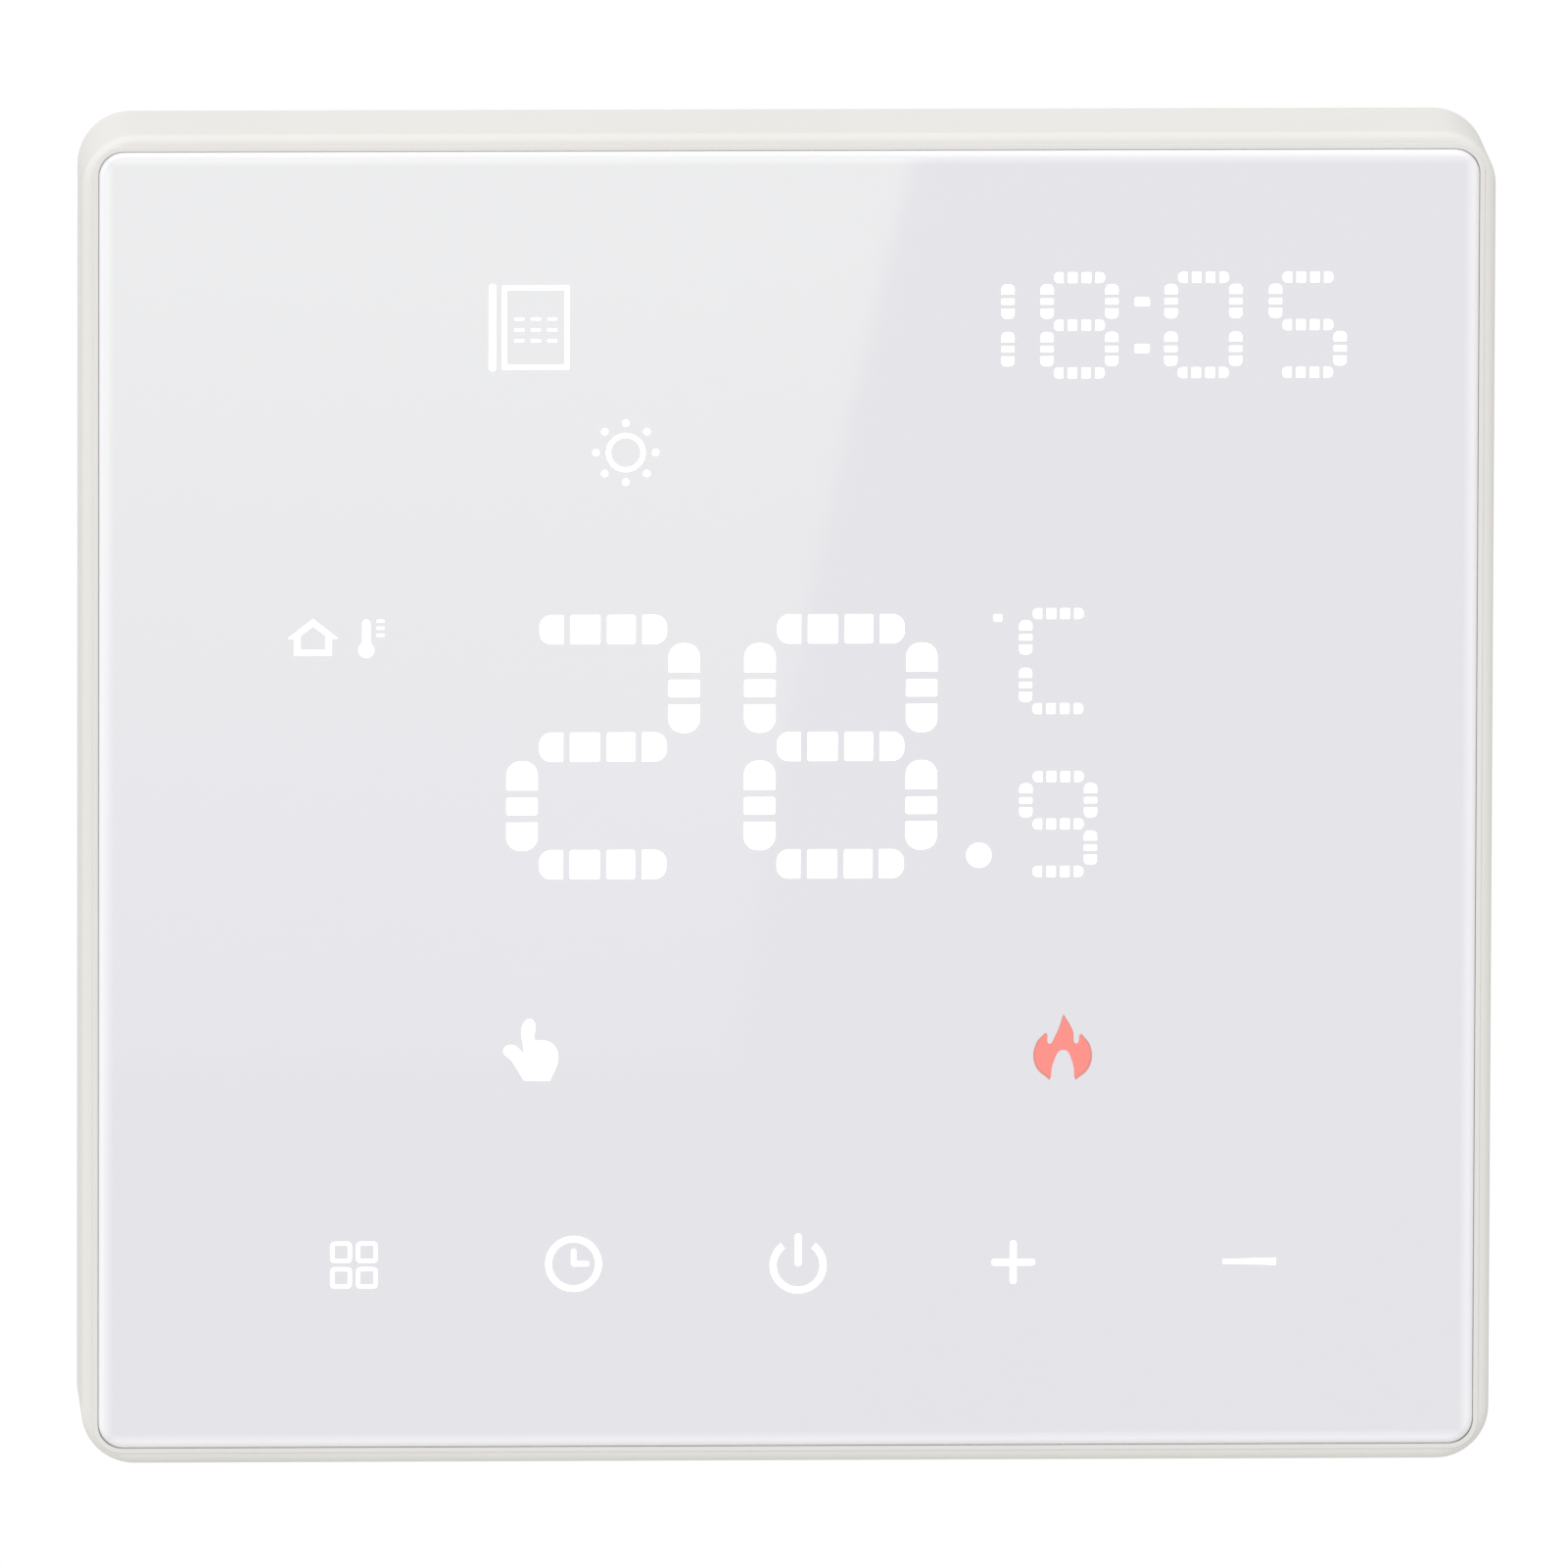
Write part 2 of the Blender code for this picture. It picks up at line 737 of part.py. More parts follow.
def board_part(name, place, size, material, front, parent):
    """A block soldered on a board, its front at a given y."""
    bm = bmesh.new()
    width, depth, height = size
    add_slab(bm, centred(width / 2, place[0]), (front, front + depth), centred(height / 2, place[1]))
    return new_piece(name, bm, material, parent)


def display_parts():
    board_part("control_chip", chip_place, chip_size, black_plastic, component_front, front_axis)
    board_part("driver_chip", driver_place, driver_size, black_plastic, component_front, front_axis)
    buzzer = board_part("buzzer", buzzer_place, buzzer_size, black_plastic, component_front, front_axis)
    sound_hole = bmesh.new()
    buzzer_rear = component_front + buzzer_size[1]
    add_pin(sound_hole, buzzer_place, (buzzer_rear - buzzer_size[1] / 2, buzzer_rear + through),
            buzzer_hole_radius, steps=12)
    cut(buzzer, "sound_hole", sound_hole)

    cell = bmesh.new()
    add_pin(cell, backup_place, (component_front, component_front + backup_thickness), backup_radius)
    new_piece("clock_capacitor", cell, screw_steel, front_axis)

    bead = bmesh.new()
    x = -window_half_x + sensor_inset[0]
    z = -window_half_z + sensor_inset[1]
    y = component_front + sensor_radius
    add_rod(bead, (x - sensor_length / 2, y, z), (x + sensor_length / 2, y, z), sensor_radius, steps=12)
    new_piece("room_sensor", bead, black_plastic, front_axis)


def link_header():
    """The pin strip on the display board that plugs into the power board's socket."""
    length = link_pins * link_pitch
    block_rear = component_front + link_block_depth
    bm = bmesh.new()
    block_z = centred(link_pitch / 2, link_level)
    add_slab(bm, centred(length / 2), (component_front, block_rear), block_z)
    header = new_piece("link_header", bm, black_plastic, front_axis)
    pins = bmesh.new()
    for index in range(link_pins):
        x = (index - (link_pins - 1) / 2) * link_pitch
        pin_x = centred(link_pin / 2, x)
        pin_z = centred(link_pin / 2, link_level)
        add_slab(pins, pin_x, (block_rear - link_block_depth / 2, link_pin_reach), pin_z)
    join(header, "pins", pins)


def board_cover():
    rib_front = display_board_rear + gap
    bm = bmesh.new()
    add_slab(bm, centred(cover_half_x), (rib_front, cover_rear), centred(cover_half_z),
             board_corner)
    cover = new_piece("board_cover", bm, grey_plastic, front_axis)
    hollow = bmesh.new()
    add_slab(
        hollow,
        centred(cover_half_x - cover_rib),
        (rib_front - through, cover_front),
        centred(cover_half_z - cover_rib),
    )
    cut(cover, "hollow", hollow)
    openings = bmesh.new()
    through_y = (cover_front - through / 2, cover_rear + through)
    half_x = link_pins * link_pitch / 2 + rim_gap
    add_slab(openings, centred(half_x), through_y, centred(link_pitch / 2 + rim_gap, link_level))
    for place in post_places:
        add_pin(openings, place, through_y, cover_screw_radius + gap)
    cut(cover, "openings", openings)
    seats = bmesh.new()
    for place in post_places:
        add_pin(seats, place, (cover_rear - counterbore_depth, cover_rear + through), counterbore_radius)
    cut(cover, "screw_seats", seats)


def cover_screws():
    mesh = screw_mesh("cover_screw", cover_screw_head_radius, cover_screw_head_height,
                      cover_screw_radius, cover_screw_length)
    seat = cover_rear - counterbore_depth + gap
    for number, (x, z) in enumerate(post_places, 1):
        place_piece(f"cover_screw_{number}", mesh, screw_steel, front_axis, (x, seat, z),
                    (-math.pi / 2, 0, 0))


# Wall unit
def base_plate():
    bm = bmesh.new()
    base_corner = housing_corner - housing_wall
    add_slab(bm, centred(base_half_x), (base_rim_front, base_floor_rear), centred(base_half_z),
             base_corner)
    base = new_piece("base_plate", bm, white_plastic)
    tray = bmesh.new()
    add_slab(
        tray,
        centred(base_half_x - base_wall),
        (base_rim_front - through, base_floor_front),
        centred(base_half_z - base_wall),
        base_corner / 2,
    )
    cut(base, "tray", tray)

    openings = bmesh.new()
    opening_y = (base_floor_front - through, base_floor_rear + through)
    for side in (-1, 1):
        place = (side * wall_screw_pitch / 2, 0.0)
        add_pin(openings, place, opening_y, screw_access_radius)
    link_half_x = link_pins * link_pitch / 2 + rim_gap
    add_slab(openings, centred(link_half_x), opening_y, centred(link_pitch / 2 + rim_gap, link_level))
    for place in boss_places:
        add_pin(openings, place, opening_y, box_screw_radius + gap)
    cut(base, "openings", openings)
    seats = bmesh.new()
    for place in boss_places:
        add_pin(
            seats,
            place,
            (base_floor_front - gap, base_floor_front + box_screw_head_height),
            box_screw_head_radius + 2 * gap,
            box_screw_radius + gap,
        )
    cut(base, "screw_seats", seats)

    beads = bmesh.new()
    notches = bmesh.new()
    notch_front = hinge_y + hook_radius
    for side in (-1, 1):
        x = side * hook_spacing / 2
        half = hook_length / 2
        add_rod(beads, (x - half, hinge_y, hinge_z), (x + half, hinge_y, hinge_z), hook_radius)
        add_slab(
            notches,
            centred(catch_length / 2 + rim_gap, x),
            (notch_front, base_floor_rear + through),
            (base_half_z - notch_depth, base_half_z + through),
        )
    join(base, "hook_beads", beads)
    cut(base, "hook_notches", notches)

    tongue = bmesh.new()
    tongue_y = centred(tongue_thickness / 2, base_floor_front)
    add_slab(
        tongue,
        centred(tongue_width / 2),
        tongue_y,
        (-base_half_z - tongue_height, -base_half_z + base_wall / 2),
    )
    join(base, "snap_tongue", tongue)


def mounting_plate():
    bm = bmesh.new()
    add_slab(bm, centred(plate_half_x), (mounting_plate_front, 0.0), centred(plate_half_z),
             plate_corner)
    plate = new_piece("mounting_plate", bm, zinc_steel)
    seat = bmesh.new()
    seat_half = box_half + seat_margin
    add_slab(seat, centred(seat_half), (-seat_depth, through), centred(seat_half), box_corner)
    cut(plate, "box_seat", seat)
    openings = bmesh.new()
    opening_y = (mounting_plate_front - through, through)
    add_slab(
        openings,
        centred(plate_window_width / 2),
        opening_y,
        centred(plate_window_height / 2),
        box_corner,
    )
    for place in boss_places:
        add_pin(openings, place, opening_y, box_screw_radius + gap)
    slot_half = wall_screw_radius + screw_slot_clearance
    for side in (-1, 1):
        slot_x = centred(slot_half, side * wall_screw_pitch / 2)
        slot_z = centred(wall_slot_length / 2)
        add_slab(openings, slot_x, opening_y, slot_z, slot_half * slot_roundness, 6)
    cut(plate, "openings", openings)


def power_box():
    bm = bmesh.new()
    add_slab(bm, centred(box_half), (0.0, box_depth), centred(box_half), box_corner, 5)
    box = new_piece("power_box", bm, white_plastic)
    step = bmesh.new()
    add_slab(
        step,
        centred(box_half + through),
        (power_board_rear, box_depth + through),
        (-box_half - through, terminal_step_level),
    )
    cut(box, "terminal_step", step)
    chamber = bmesh.new()
    add_slab(chamber, centred(box_inner), (-through, box_floor), (step_inner, box_inner))
    cut(box, "chamber", chamber)
    lower = bmesh.new()
    lower_y = (-through, power_board_rear + through)
    add_slab(lower, centred(box_inner), lower_y, (-box_inner, step_inner + through))
    cut(box, "lower_chamber", lower)

    bosses = bmesh.new()
    holes = bmesh.new()
    for place in boss_places:
        add_pin(bosses, place, (gap, boss_length), boss_radius)
        add_pin(holes, place, (-through, boss_length - box_wall), box_screw_radius + gap)
    join(box, "bosses", bosses)
    cut(box, "boss_holes", holes)
    rests = bmesh.new()
    for side in (-1, 1):
        rest_x = sorted((side * (box_inner - rest_reach), side * (box_inner + box_wall / 2)))
        rest_y = (part_front, part_front + rest_thickness)
        add_slab(rests, rest_x, rest_y, centred(rest_length / 2, rest_level))
    join(box, "board_rests", rests)

    vents = bmesh.new()
    for index in range(box_vent_count):
        x = (index - (box_vent_count - 1) / 2) * box_vent_pitch
        add_slab(
            vents,
            centred(box_vent_width / 2, x),
            centred(box_vent_length / 2, box_depth / 2),
            (box_inner - through, box_half + through),
        )
    cut(box, "vents", vents)


def power_board():
    half = box_inner - gap
    bm = bmesh.new()
    add_slab(bm, centred(half), (power_board_front, power_board_rear), centred(half))
    board = new_piece("power_board", bm, board_green)
    notches = bmesh.new()
    notch_y = (power_board_front - through, power_board_rear + through)
    for place in boss_places:
        add_pin(notches, place, notch_y, boss_radius + gap)
    cut(board, "boss_notches", notches)


def link_socket():
    half_x = link_pins * link_pitch / 2 + socket_wall
    half_z = link_pin / 2 + link_play + socket_wall
    rear = power_board_front - gap
    bm = bmesh.new()
    add_slab(bm, centred(half_x), (socket_front, rear), centred(half_z, link_level))
    socket = new_piece("link_socket", bm, black_plastic)
    trough = bmesh.new()
    add_slab(
        trough,
        centred(half_x - socket_wall / 2),
        (socket_front - through, rear - gap),
        centred(link_pin / 2 + link_play, link_level),
    )
    cut(socket, "trough", trough)


def box_screws():
    mesh = screw_mesh("box_screw", box_screw_head_radius, box_screw_head_height, box_screw_radius,
                      box_screw_length, countersunk=True)
    for number, (x, z) in enumerate(boss_places, 1):
        y = base_floor_front + box_screw_head_height
        place_piece(f"box_screw_{number}", mesh, screw_steel, None, (x, y, z), (math.pi / 2, 0, 0))


def wall_screws():
    mesh = screw_mesh("wall_screw", wall_screw_head_radius, wall_screw_head_height,
                      wall_screw_radius, wall_screw_length)
    for name, side in (("left", -1), ("right", 1)):
        place = (side * wall_screw_pitch / 2, mounting_plate_front - gap, 0)
        place_piece(f"wall_screw_{name}", mesh, screw_steel, None, place, (math.pi / 2, 0, 0))


def relay():
    """Relay on the power board: its core pulls the armature, which moves the contact blade."""
    x, z = relay_place
    relay_x = centred(relay_width / 2, x)
    relay_z = centred(relay_height / 2, z)
    base_rear = part_front + relay_base_thickness
    bm = bmesh.new()
    add_slab(bm, relay_x, (part_front, base_rear), relay_z)
    new_piece("relay_base", bm, black_plastic)

    case_front = base_rear + gap
    case_rear = case_front + relay_case_depth
    bm = bmesh.new()
    add_slab(bm, relay_x, (case_front, case_rear), relay_z)
    round_end(bm, case_rear, relay_wall / 2, 2)
    case = new_piece("relay_case", bm, blue_plastic)
    hollow = bmesh.new()
    add_slab(
        hollow,
        centred(relay_width / 2 - relay_wall, x),
        (case_front - through, case_rear - relay_wall),
        centred(relay_height / 2 - relay_wall, z),
    )
    cut(case, "hollow", hollow)

    coil_x = x + relay_coil_offset
    yoke_front = case_front + gap
    yoke_rear = yoke_front + relay_yoke_thickness
    coil_front = yoke_rear + gap
    coil_rear = coil_front + relay_coil_length
    core_tip = coil_rear + relay_core_tip
    bm = bmesh.new()
    add_pin(bm, (coil_x, z), (coil_front + relay_flange / 2, coil_rear - relay_flange / 2),
            relay_coil_radius)
    coil = new_piece("relay_coil", bm, copper)
    flanges = bmesh.new()
    add_pin(flanges, (coil_x, z), (coil_front, coil_front + relay_flange), relay_flange_radius)
    add_pin(flanges, (coil_x, z), (coil_rear - relay_flange, coil_rear), relay_flange_radius)
    join(coil, "flanges", flanges)
    core = bmesh.new()
    add_pin(core, (coil_x, z), (coil_rear - relay_flange / 2, core_tip), relay_core_radius)
    join(coil, "core", core)

    armature_front = core_tip + relay_armature_gap
    upright_x = x + relay_upright_offset
    half_z = relay_yoke_width / 2
    bm = bmesh.new()
    add_slab(bm, (coil_x - relay_coil_radius, upright_x + relay_yoke_thickness / 2),
             (yoke_front, yoke_rear), centred(half_z, z))
    yoke = new_piece("relay_yoke", bm, zinc_steel)
    upright = bmesh.new()
    add_slab(upright, centred(relay_yoke_thickness / 2, upright_x),
             (yoke_front + relay_yoke_thickness / 2, armature_front - gap), centred(half_z, z))
    join(yoke, "upright", upright)

    pivot = bpy.data.objects.new("relay_armature_axis", None)
    pivot.location = (upright_x, armature_front - gap / 2, z)
    parts.objects.link(pivot)
    armature_rear = armature_front + relay_armature_thickness
    armature_end = upright_x + relay_yoke_thickness / 2 - relay_armature_length
    bm = bmesh.new()
    add_slab(bm, (armature_end, upright_x + relay_yoke_thickness / 2),
             (armature_front, armature_rear), centred(half_z, z))
    new_piece("relay_armature", bm, zinc_steel, pivot)

    contact_x = armature_end - 2 * relay_contact_radius
    blade_front = armature_rear + gap
    bm = bmesh.new()
    blade_y = (blade_front, blade_front + relay_blade_thickness)
    add_slab(bm, (contact_x - relay_contact_radius, x), blade_y, centred(relay_blade_width / 2, z))
    blade = new_piece("relay_blade", bm, brass, pivot)
    rivet = bmesh.new()
    add_pin(rivet, (contact_x, z), (armature_front, blade_front + relay_blade_thickness / 2),
            relay_contact_radius, steps=12)
    join(blade, "rivet", rivet)

    bm = bmesh.new()
    add_pin(bm, (contact_x, z), (yoke_front, armature_front - relay_contact_gap),
            relay_contact_radius, steps=12)
    new_piece("relay_contact", bm, brass)


def transformer():
    x, z = transformer_place
    front = part_front + core_standoff
    rear = front + core_depth
    bm = bmesh.new()
    add_slab(bm, centred(core_width / 2, x), (front, rear), centred(core_height / 2, z))
    core = new_piece("transformer_core", bm, ferrite)
    windows = bmesh.new()
    window_width = core_width / 2 - core_side_leg - core_leg / 2
    window_y = (front + core_side_leg, rear - core_side_leg)
    for side in (-1, 1):
        window_x = centred(window_width / 2, x + side * (core_leg + window_width) / 2)
        add_slab(windows, window_x, window_y, centred(core_height / 2 + through, z))
    cut(core, "windows", windows)

    bm = bmesh.new()
    winding_half = core_leg / 2 + window_width - gap
    add_slab(bm, centred(winding_half, x), (window_y[0] + gap, window_y[1] - gap),
             centred(winding_height / 2, z))
    coil = new_piece("transformer_coil", bm, yellow_plastic)
    bore = bmesh.new()
    add_slab(bore, centred(core_leg / 2 + gap, x), (front, rear), centred(core_height / 2 + gap, z))
    cut(coil, "bore", bore)


def power_parts():
    bm = bmesh.new()
    filter_rear = part_front + filter_length
    add_pin(bm, filter_place, (part_front, filter_rear), filter_radius)
    round_end(bm, filter_rear, filter_round, 2)
    new_piece("filter_capacitor", bm, sleeve)
    board_part("suppressor_capacitor", suppressor_place, suppressor_size, yellow_plastic,
               part_front, None)
    bm = bmesh.new()
    x, z = varistor_place
    y = part_front + varistor_standoff + varistor_radius
    half = varistor_thickness / 2
    add_rod(bm, (x, y, z - half), (x, y, z + half), varistor_radius)
    new_piece("varistor", bm, ceramic)
    bm = bmesh.new()
    add_pin(bm, fuse_place, (part_front, part_front + fuse_length), fuse_radius)
    new_piece("fuse", bm, black_plastic)


def terminal_housing():
    half_x = pole_count * pole_pitch / 2 + terminal_end_wall
    bm = bmesh.new()
    add_slab(bm, centred(half_x), (part_front, terminal_rear), (terminal_bottom, terminal_top))
    housing = new_piece("terminal_housing", bm, green_plastic)
    rooms = bmesh.new()
    entries = bmesh.new()
    necks = bmesh.new()
    heads = bmesh.new()
    entry_y = clamp_front + clamp_depth / 2
    for x in pole_places:
        room_x = centred(clamp_width / 2 + gap, x)
        add_slab(rooms, room_x, (clamp_room_front, clamp_room_rear), (clamp_room_bottom, clamp_room_top))
        add_slab(
            entries,
            centred(wire_entry / 2, x),
            centred(wire_entry / 2, entry_y),
            (terminal_bottom - through, clamp_room_bottom + through),
        )
        screw_place = (x, clamp_level)
        neck_y = (clamp_room_rear - through, terminal_rear + through)
        add_pin(necks, screw_place, neck_y, terminal_screw_radius + gap)
        head_y = (clamp_room_rear + terminal_lip, terminal_rear + through)
        add_pin(heads, screw_place, head_y, terminal_screw_head_radius + gap)
    cut(housing, "clamp_rooms", rooms)
    cut(housing, "wire_entries", entries)
    cut(housing, "screw_necks", necks)
    cut(housing, "screw_heads", heads)


def terminal_clamps():
    """A cage on each terminal screw that rises to grip the wire as the screw turns."""
    half_z = clamp_height / 2
    bm = bmesh.new()
    add_slab(bm, centred(clamp_width / 2), (0.0, clamp_depth), centred(half_z))
    template = new_piece("terminal_clamp", bm, brass)
    mouth = bmesh.new()
    mouth_y = (clamp_jaw, clamp_depth - clamp_jaw)
    add_slab(mouth, centred(clamp_width / 2 - clamp_side), mouth_y, centred(half_z + through))
    cut(template, "mouth", mouth)
    thread = bmesh.new()
    thread_y = (clamp_depth - clamp_jaw - through, clamp_depth + through)
    add_pin(thread, (0.0, 0.0), thread_y, terminal_screw_radius + gap)
    cut(template, "thread", thread)
    mesh = settled_mesh(template)
    for number, x in enumerate(pole_places, 1):
        place_piece(f"terminal_clamp_{number}", mesh, brass, None, (x, clamp_front, clamp_level))


def terminal_screws():
    head_y = clamp_room_rear + terminal_lip + gap
    tip_y = clamp_front + clamp_travel + clamp_jaw + 2 * gap
    mesh = screw_mesh("terminal_screw", terminal_screw_head_radius, terminal_screw_head_height,
                      terminal_screw_radius, head_y - tip_y, cross=False)
    for number, x in enumerate(pole_places, 1):
        place_piece(f"terminal_screw_{number}", mesh, screw_steel, None, (x, head_y, clamp_level),
                    (-math.pi / 2, 0, 0))


front_panel()
front_housing()
light_sheet("diffuser_sheet", (diffuser_front, diffuser_rear), film)
segment_mask()
display_board()
touch_springs()
display_parts()
link_header()
board_cover()
cover_screws()
base_plate()
mounting_plate()
power_box()
box_screws()
wall_screws()
power_board()
link_socket()
relay()
transformer()
power_parts()
terminal_housing()
terminal_clamps()
terminal_screws()
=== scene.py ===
# Wall thermostat: finished surfaces, lit signs and fine detail over the fixed frame.
import json
import math
import bpy
from mathutils import Matrix, Vector


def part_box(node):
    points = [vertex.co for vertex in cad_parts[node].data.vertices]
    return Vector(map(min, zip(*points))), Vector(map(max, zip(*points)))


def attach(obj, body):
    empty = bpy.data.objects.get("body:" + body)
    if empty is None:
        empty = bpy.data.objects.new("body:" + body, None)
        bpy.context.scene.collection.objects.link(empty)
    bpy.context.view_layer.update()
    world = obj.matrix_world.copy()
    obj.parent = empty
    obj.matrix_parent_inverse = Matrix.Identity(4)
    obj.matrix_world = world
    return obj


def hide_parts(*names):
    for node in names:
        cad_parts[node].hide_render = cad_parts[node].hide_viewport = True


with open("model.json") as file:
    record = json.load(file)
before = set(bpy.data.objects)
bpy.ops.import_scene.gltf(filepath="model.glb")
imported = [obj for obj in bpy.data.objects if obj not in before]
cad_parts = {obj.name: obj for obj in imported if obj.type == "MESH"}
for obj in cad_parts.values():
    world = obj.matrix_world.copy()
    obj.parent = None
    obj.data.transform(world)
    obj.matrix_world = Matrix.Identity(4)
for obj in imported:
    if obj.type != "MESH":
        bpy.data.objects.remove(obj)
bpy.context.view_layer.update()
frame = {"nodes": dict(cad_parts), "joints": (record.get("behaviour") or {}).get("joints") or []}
mm = 0.001


def span(node):
    low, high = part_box(node)
    return Vector(low), Vector(high)


def frameJoint(name):
    return next(Vector(joint["pos_m"]) for joint in frame["joints"] if joint["name"] == name)


panelLow, panelHigh = span("front_panel")
shellLow, shellHigh = span("front_housing")
panelFront = panelLow.y


def pickOnly(obj):
    for other in list(bpy.context.selected_objects):
        other.select_set(False)
    obj.select_set(True)
    bpy.context.view_layer.objects.active = obj


def freshen():
    for other in list(bpy.context.selected_objects):
        other.select_set(False)


def bakePlace(obj):
    pickOnly(obj)
    bpy.ops.object.transform_apply(location=True, rotation=True, scale=True)
    return obj


def addBlock(name, low, high):
    freshen()
    low, high = Vector(low), Vector(high)
    bpy.ops.mesh.primitive_cube_add(size=1, location=(low + high) / 2)
    block = bpy.context.active_object
    block.name = name
    block.scale = high - low
    return bakePlace(block)


def addRod(name, start, end, radius, sides=48, endRadius=None):
    freshen()
    start, end = Vector(start), Vector(end)
    line = end - start
    bpy.ops.mesh.primitive_cone_add(
        vertices=sides, radius1=radius, radius2=radius if endRadius is None else endRadius,
        depth=line.length, location=(start + end) / 2,
        rotation=line.to_track_quat("Z", "Y").to_euler())
    rod = bpy.context.active_object
    rod.name = name
    return bakePlace(rod)


def bevelWhere(obj, test, width, segments=4):
    # bevels the edges whose two ends pass the test
    pickOnly(obj)
    bpy.ops.object.mode_set(mode="EDIT")
    bpy.ops.mesh.select_mode(type="EDGE")
    bpy.ops.mesh.select_all(action="DESELECT")
    bpy.ops.object.mode_set(mode="OBJECT")
    for edge in obj.data.edges:
        first, second = (obj.data.vertices[index].co for index in edge.vertices)
        edge.select = test(first, second)
    bpy.ops.object.mode_set(mode="EDIT")
    bpy.ops.mesh.bevel(offset=width, segments=segments, profile=0.5, affect="EDGES", clamp_overlap=True)
    bpy.ops.object.mode_set(mode="OBJECT")
    return obj


def alongY(first, second):
    return abs((first - second).y) > 0.9 * (first - second).length


def alongX(first, second):
    return abs((first - second).x) > 0.9 * (first - second).length


def endAt(y):
    return lambda first, second: abs(first.y - y) < 1e-6 and abs(second.y - y) < 1e-6


def roundedBlock(name, low, high, corner, segments=8):
    return bevelWhere(addBlock(name, low, high), alongY, corner, segments)


def alongZ(first, second):
    return abs((first - second).z) > 0.9 * (first - second).length


def roundedBlockZ(name, low, high, corner):
    return bevelWhere(addBlock(name, low, high), alongZ, corner, 5)


def applyModifier(obj, kind, **settings):
    pickOnly(obj)
    modifier = obj.modifiers.new(kind.lower(), kind)
    for key, value in settings.items():
        setattr(modifier, key, value)
    bpy.ops.object.modifier_apply(modifier=modifier.name)
    return obj


def carve(obj, tool, operation="DIFFERENCE"):
    applyModifier(obj, "BOOLEAN", operation=operation, object=tool, solver="EXACT")
    bpy.data.objects.remove(tool)
    return obj


def joinAll(name, objects):
    if len(objects) == 1:
        objects[0].name = name
        return objects[0]
    freshen()
    for obj in objects:
        obj.select_set(True)
    bpy.context.view_layer.objects.active = objects[0]
    bpy.ops.object.join()
    joined = bpy.context.active_object
    joined.name = name
    return joined


def copyTo(obj, offset):
    twin = obj.copy()
    twin.data = obj.data.copy()
    twin.data.transform(Matrix.Translation(offset))
    bpy.context.collection.objects.link(twin)
    return twin


def finishPiece(obj, body, material, stands=(), angle=35):
    pickOnly(obj)
    bpy.ops.object.shade_smooth_by_angle(angle=math.radians(angle))
    applyModifier(obj, "WEIGHTED_NORMAL", keep_sharp=True, weight=50)
    obj.data.materials.clear()
    obj.data.materials.append(material)
    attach(obj, body)
    if stands:
        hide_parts(*stands)
    return obj


def newMaterial(name, color, roughness, metallic=0.0):
    material = bpy.data.materials.new(name)
    material.use_nodes = True
    shader = material.node_tree.nodes["Principled BSDF"]
    shader.inputs["Base Color"].default_value = (*color, 1)
    shader.inputs["Roughness"].default_value = roughness
    shader.inputs["Metallic"].default_value = metallic
    return material, shader, material.node_tree


def addNode(tree, kind, **settings):
    node = tree.nodes.new(kind)
    for key, value in settings.items():
        if key in node.inputs:
            node.inputs[key].default_value = value
        else:
            setattr(node, key, value)
    return node


def objectPoint(tree, scale=(1, 1, 1)):
    place = addNode(tree, "ShaderNodeTexCoord")
    mapping = addNode(tree, "ShaderNodeMapping")
    mapping.inputs["Scale"].default_value = scale
    tree.links.new(place.outputs["Object"], mapping.inputs["Vector"])
    return mapping.outputs["Vector"]


def noiseAt(tree, point, scale, detail=4.0):
    noise = addNode(tree, "ShaderNodeTexNoise", Scale=scale, Detail=detail)
    tree.links.new(point, noise.inputs["Vector"])
    return noise.outputs["Fac"]


def rampOf(tree, value, low, high, lowColor, highColor):
    ramp = addNode(tree, "ShaderNodeValToRGB")
    first, last = ramp.color_ramp.elements
    first.position, last.position = low, high
    first.color, last.color = (*lowColor, 1), (*highColor, 1)
    tree.links.new(value, ramp.inputs["Fac"])
    return ramp.outputs["Color"]


def rangeOf(tree, value, low, high, fromLow=0.3, fromHigh=0.7):
    span = addNode(tree, "ShaderNodeMapRange")
    for key, number in (("From Min", fromLow), ("From Max", fromHigh), ("To Min", low), ("To Max", high)):
        span.inputs[key].default_value = number
    tree.links.new(value, span.inputs["Value"])
    return span.outputs["Result"]


def bumpFrom(tree, shader, height, strength, distance):
    bump = addNode(tree, "ShaderNodeBump", Strength=strength, Distance=distance)
    tree.links.new(height, bump.inputs["Height"])
    tree.links.new(bump.outputs["Normal"], shader.inputs["Normal"])


def shaded(color, factor):
    return tuple(min(1.0, channel * factor) for channel in color)


def mouldedPlastic(name, look):
    # satin moulded plastic: fine spark texture, faint flow shading and uneven gloss
    color = look["color"]
    material, shader, tree = newMaterial(name, color, look["rough"])
    point = objectPoint(tree)
    cloud = noiseAt(tree, point, look.get("cloud", 35), 3)
    tree.links.new(rampOf(tree, cloud, 0.3, 0.7, shaded(color, 0.985), shaded(color, 1.012)),
                   shader.inputs["Base Color"])
    gloss = noiseAt(tree, point, 260, 4)
    tree.links.new(rangeOf(tree, gloss, look["rough"] - 0.05, look["rough"] + 0.06),
                   shader.inputs["Roughness"])
    grain = noiseAt(tree, point, look.get("grain", 5200), 2)
    bumpFrom(tree, shader, grain, look.get("bump", 0.12), 0.00006)
    shader.inputs["Specular IOR Level"].default_value = look.get("specular", 0.5)
    if "subsurface" in look:
        shader.inputs["Subsurface Weight"].default_value = look["subsurface"]
        shader.inputs["Subsurface Scale"].default_value = 0.001
    return material


